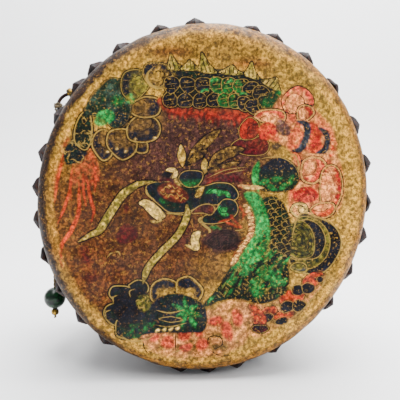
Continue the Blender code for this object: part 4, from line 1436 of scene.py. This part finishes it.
def paint_lower_clouds(art):
    """Green and navy cloud at the lower right, and orange ones under it."""
    outer = art.blob(((66, -10), (78, -12), (90, -18), (95, -29), (91, -41), (82, -50), (70, -50), (60, -44),
                      (60, -30)), NAVY, INK, gold=0.8, ink=0.5, patch=4)
    art.blob(((66, -12), (78, -14), (85, -21), (87, -31), (83, -41), (73, -47), (64, -42), (60, -28)),
             DEEP_GREEN, OLIVE, patch=3, gold=0.5)
    art.blob(oval(70, -28, 13.5, 14.5), INK, NAVY, gold=0.6, patch=3)
    ribbed = art.blob(oval(66, -27.5, 11, 13), DEEP_GREEN, OLIVE, gold=0.5, patch=2)
    art.ribs(ribbed, 2.2, 0.55)
    art.strokes([(1.1, (57, z), (61, z - 0.6), (64, z - 1.6)) for z in (-22, -27, -32)], OLD_GOLD, OLIVE)
    art.rim(outer, 0.9, 0)
    art.lobe(66, -46, 6.5, 4.2, 270, SLATE, OLIVE, gold=0.8, ink=0.5)
    art.blob(((34, -72), (46, -71), (58, -66), (68, -60), (78, -50), (84, -52), (78, -66), (66, -78),
              (52, -86), (38, -94), (30, -86)), PEACH, BRONZE, patch=3, soft=1.5, strength=0.8)
    art.ovals(((75, -55, 8.5, 4.6, 0.5), (61, -67, 9.5, 5.2, 0.3), (46, -76, 5, 3.8, 0.2),
               (56, -78.5, 7.5, 3.2, 0.2)), EMBER, RUST, patch=2, ink=0.5)
    for x, z, wide, high in ((65.5, -61.5, 4, 3.6), (72.5, -60.5, 4, 3.6), (80.5, -54.5, 2.2, 2),
                             (58, -73, 4.4, 3.8), (66.5, -72.5, 4.4, 3.8), (44.5, -80.5, 3.6, 3),
                             (54.5, -82.8, 4.4, 2.4)):
        art.blob(oval(x, z, wide * 1.15, high * 1.1, 0.3), INK, NAVY, gold=0.35, patch=2)
    art.brush(((32, -71), (36, -77), (40, -83), (43, -87)), 9, EMBER, RUST, patch=2, ink=0.4)
    art.lobe(28.5, -78, 4.6, 7.5, 200, NAVY, PLUM, gold=0.5)
    art.lobe(39.5, -88, 6, 3.4, 270, MAROON, NAVY, gold=0.4)
    art.draw(((86, -48), (84, -56), (78, -64), (70, -74), (60, -82)), GOLD_LINE, 0.9)


def paint_bottom_clouds(art):
    """Navy scalloped cloud at the lower left and rosy ones along the bottom."""
    art.blob(((-40, -84), (-20, -80), (0, -76), (20, -68), (30, -70), (34, -84), (28, -98), (10, -107),
              (-15, -108), (-36, -100)), PEACH, BRONZE, patch=4, soft=1.5, strength=0.8)
    art.ovals(((-32, -93, 4, 2.4, 0.3), (-23, -96, 4.4, 5, 0.3), (-12, -91, 4.2, 5, 0.3),
               (-11, -100, 4.2, 3, 0.3), (0, -98, 4.5, 4.4, 0.3), (17, -89, 4, 7, 0.3), (-2, -90, 3, 3, 0.3),
               (9, -82, 5, 3.5, 0.3), (24, -80, 4, 6, 0.3)), ROSE, RED, patch=2, soft=0.9, strength=0.85)
    for points in (((-40, -93), (-39, -100), (-35, -106)), ((-18, -90), (-18, -102)),
                   ((5, -102), (12, -106), (21, -106)),
                   ((3, -99), (5, -93), (12, -93), (14, -98), (9, -101), (7, -98))):
        art.draw(points, INK_LINE)
    art.draw(((-30, -98), (-22, -103), (-12, -101)), GOLD_LINE, 0.7)
    for x, z, wide, high, away in ((-58, -76, 9, 8, 190), (-52, -86, 8, 8, 230), (-43, -59, 8, 6.5, 100),
                                   (-54, -63, 8.5, 7.5, 140)):
        art.lobe(x, z, wide, high, away, NAVY, DEEP_GREEN, lift=0.1, size=0.45)
    art.blob(((-58, -64), (-42, -58), (-34, -68), (-36, -82), (-48, -88), (-58, -78)), NAVY, INK, patch=4)
    for x, z in ((-57, -66), (-46, -62), (-62, -76)):
        art.draw(((x - 2, z - 3), (x - 2.5, z + 1), (x + 1, z + 2.6)), GOLD_LINE, 0.7)
    green_gold = art.blob(oval(-39, -69, 5.5, 5.5), OLIVE, DEEP_GREEN, patch=1.5)
    art.scribble(green_gold, 9, 1.6, width=0.6)
    art.lobe(-25, -61, 11, 9, 110, NAVY, OCHRE, size=0.65, gold=0.9)
    art.lobe(-9, -61, 10, 10, 80, NAVY, OCHRE, size=0.62, gold=1.0)
    art.blob(((-30, -66), (-14, -63), (2, -72), (2, -88), (-10, -90), (-34, -90), (-50, -94), (-54, -88),
              (-40, -80)), NAVY, DEEP_GREEN, patch=3)
    root = (-9, -77)
    for x, z, width in ((-20, -70, 3.0), (-12, -66, 2.6), (-3, -71, 3.4), (0, -79, 3.2), (-4, -87, 3.0),
                        (-14, -86, 2.4), (-18, -79, 2.4)):
        bend = ((x + root[0]) / 2 - 0.8, (z + root[1]) / 2 + 0.8)
        art.brush((root, bend, (x, z)), width, LEAF_GREEN, JADE, taper=0.5, patch=1.2, strength=0.8, soft=0.8)
    art.strokes([(2.6, (x - 4, z + 1), (x, z), (x + 3, z + 2))
                 for x, z in ((-50, -90), (-44, -92), (-39, -88), (-34, -84), (-45, -85))],
                LEAF_GREEN, DEEP_GREEN, patch=1.2, strength=0.8)
    art.draw(((-31, -74), (-22, -76), (-12, -74)), GOLD_LINE, 0.9)
    art.draw(((-32, -84), (-22, -85.5), (-10, -83)), GOLD_LINE, 0.8)
    leaf(art, (-29, -80), (-13, -81), 4, NAVY, INK, ink=0, gold=0.5)
    art.ovals([(x, -88 + (x + 30) * 0.1, 1.5, 1.0, 0.5) for x in (-30, -25.5, -21, -16.5)],
              OLD_GOLD, CREAM, soft=0.4)
    art.ovals([(x, z, 1.8, 1.0, 0.7) for x, z in ((-12, -78), (-5, -84), (-47, -88), (-38, -86))],
              JADE, LEAF_GREEN, patch=1.2, strength=0.85)
    art.draw(((-56, -90), (-48, -95), (-38, -94), (-32, -91)), GOLD_LINE, 0.9)


def paint_skirt(art, points):
    """Painted shade on the sides: dark from close behind the face at the left, brown below; olive gold at the
    right, and a painted highlight along the rounded edge.
    """
    clock = np.arctan2(points[:, 0] - AXIS.x, points[:, 2] - AXIS.z)
    left = np.clip(-np.sin(clock - radians(12)) * 1.6 - 0.1, 0, 1)
    low = np.clip(-np.cos(clock) * 1.6 - 0.5, 0, 1)
    round_way = to_drum(points)
    out = (np.hypot(round_way[:, 0], round_way[:, 2]) - edge_arc(0, 1)[0][0]) / EDGE_ROUND
    behind = (points[:, 1] + HALF_DEPTH) / EDGE_ROUND
    out = np.where(behind > 0.3, np.maximum(out, np.clip(behind, 0, 1)), out)
    ragged = 0.12 * lumps(points, 5 * MM, 31) + 0.08 * lumps(points, 2 * MM, 32)
    start = 0.92 - 0.5 * left
    # Painted shade: a deeper ochre band where the rounded edge turns away from the light.
    edge_shade = np.clip((out - 0.5 + ragged) / 0.15, 0, 1)
    art.ground += (np.array(colour(144, 108, 46)) - art.ground) * (0.85 * edge_shade)[:, None]
    # Painted shade on the sides: umber at the left and dark brown below, where the light doesn't reach.
    down = np.clip((out - start + ragged) / 0.16, 0, 1)
    # The flat face near the left and lower left edge is browned: partly a brown stain, partly painted shade.
    west_stain_and_shade = np.clip(-2 * np.sin(clock + radians(35)) - 0.6, 0, 1)
    inner = np.clip((0.12 - out + ragged) / 0.2, 0, 1) * np.clip((out + 2.6) / 1.2, 0, 1)
    art.ground += (np.array(colour(112, 76, 44)) - art.ground) * (0.85 * west_stain_and_shade * inner)[:, None]
    side = np.array(colour(142, 112, 52)) * (1 - left[:, None]) + np.array(UMBER) * left[:, None]
    side = side * (1 - low[:, None]) + np.array(colour(74, 54, 34)) * low[:, None]
    art.ground += (side - art.ground) * down[:, None]
    # Painted highlight: a bright gilt streak along the rounded edge, broken up by ragged noise.
    lit = np.minimum(start - 0.26, 0.36)
    edge = np.clip(1 - np.abs(out - lit + 0.5 * ragged) / 0.16, 0, 1)
    art.ground += (np.array(GILT) - art.ground) * (edge * np.clip(0.5 + 4 * ragged, 0, 0.9))[:, None]


def paint_picture(mesh):
    """Paint the hide and keep the result as attributes that its material reads."""
    points = places(mesh)
    art = Artist(((points[:, 0] - AXIS.x) / MM + PICTURE_LEFT) / PICTURE_SCALE,
                 (points[:, 2] - AXIS.z) / MM / PICTURE_SCALE)
    for paint in (paint_ground, paint_flames, paint_upper_clouds, paint_far_body, paint_right_clouds,
                  paint_dark_lobe, paint_lower_clouds, paint_bottom_clouds, paint_near_body, paint_antlers,
                  paint_head, paint_whiskers):
        paint(art)
    front = points[:, 1] < -HALF_DEPTH + EDGE_ROUND / 2
    art.cover[~front] = 0
    for lines in art.lines.values():
        lines[~front] = (FAR, FAR, 0)
    # Painted shade and a painted highlight on the sides and rim go into the ground colour.
    paint_skirt(art, points)
    for name, values, kind, field in (
            ("ground", np.column_stack((art.ground, np.ones(len(points)))), "FLOAT_COLOR", "color"),
            ("paint", np.column_stack((art.paint, art.cover)), "FLOAT_COLOR", "color"),
            (GOLD_LINE, art.lines[GOLD_LINE], "FLOAT_VECTOR", "vector"),
            (INK_LINE, art.lines[INK_LINE], "FLOAT_VECTOR", "vector")):
        layer = mesh.attributes.new(name, kind, "POINT")
        layer.data.foreach_set(field, values.astype(np.float32).ravel())


def build_stage():
    """Plain pale floor, curving up into a backdrop."""
    shape = bmesh.new()
    profile = [(-STAGE_REACH, 0.0), (BACKDROP_START, 0.0)]
    for step in range(1, 10):
        turn = radians(10 * step)
        profile.append((BACKDROP_START + BACKDROP_CURVE * sin(turn),
                        BACKDROP_CURVE - BACKDROP_CURVE * cos(turn)))
    profile.append((BACKDROP_START + BACKDROP_CURVE, STAGE_REACH))
    low = [shape.verts.new((-STAGE_WIDTH / 2, y, z)) for y, z in profile]
    edges = [shape.edges.new(pair) for pair in zip(low, low[1:])]
    made = bmesh.ops.extrude_edge_only(shape, edges=edges)["geom"]
    moved = [item for item in made if isinstance(item, bmesh.types.BMVert)]
    bmesh.ops.translate(shape, verts=moved, vec=(STAGE_WIDTH, 0, 0))
    bmesh.ops.recalc_face_normals(shape, faces=shape.faces)
    surface, _, _ = new_material("pale_floor", Roughness=0.75, Base_Color=(0.86, 0.865, 0.87))
    to_object("floor", shape, surface)


def build_lights():
    """A soft key from the upper right, fills from the left and the top, and a wash on the backdrop."""
    for name, (place, aim, size, power) in LIGHTS.items():
        lamp = bpy.data.lights.new(name, "AREA")
        lamp.size = size
        lamp.energy = power
        made = bpy.data.objects.new(name, lamp)
        made.location = place
        made.rotation_mode = "QUATERNION"
        made.rotation_quaternion = (Vector(aim) - Vector(place)).to_track_quat("-Z", "Y")
        bpy.context.scene.collection.objects.link(made)
    world = bpy.data.worlds.new("studio")
    world.use_nodes = True
    sky = world.node_tree.nodes["Background"].inputs
    sky["Color"].default_value = (0.93, 0.95, 1, 1)
    sky["Strength"].default_value = 0.5
    bpy.context.scene.world = world


build_camera()
build_stage()
build_lights()
cord, cord_line, cord_length = build_cord()
knot = build_knot()
green_bead = build_bead("green_glass_bead", "green_bead", GLASS_SURFACE, "green_glass",
                        GREEN_BEAD, GREEN_BEAD, 28, 48, 1.0)
end_bead = build_bead("brass_end_bead", "end_bead", BRASS_SURFACE, "old_brass",
                      END_BEAD, END_BEAD_LENGTH, 14, 32, 0.5)
painted_hide = build_hide("painted_hide", "front_head", -1, HIDE_SURFACE, "varnished_rawhide", SKIN_GRID)
paint_picture(painted_hide.data)
build_hide("plain_hide", "back_head", 1, BACK_SURFACE, "varnished_rawhide", BACK_GRID)
build_shell()
build_tacks()
build_ring()
build_pin()
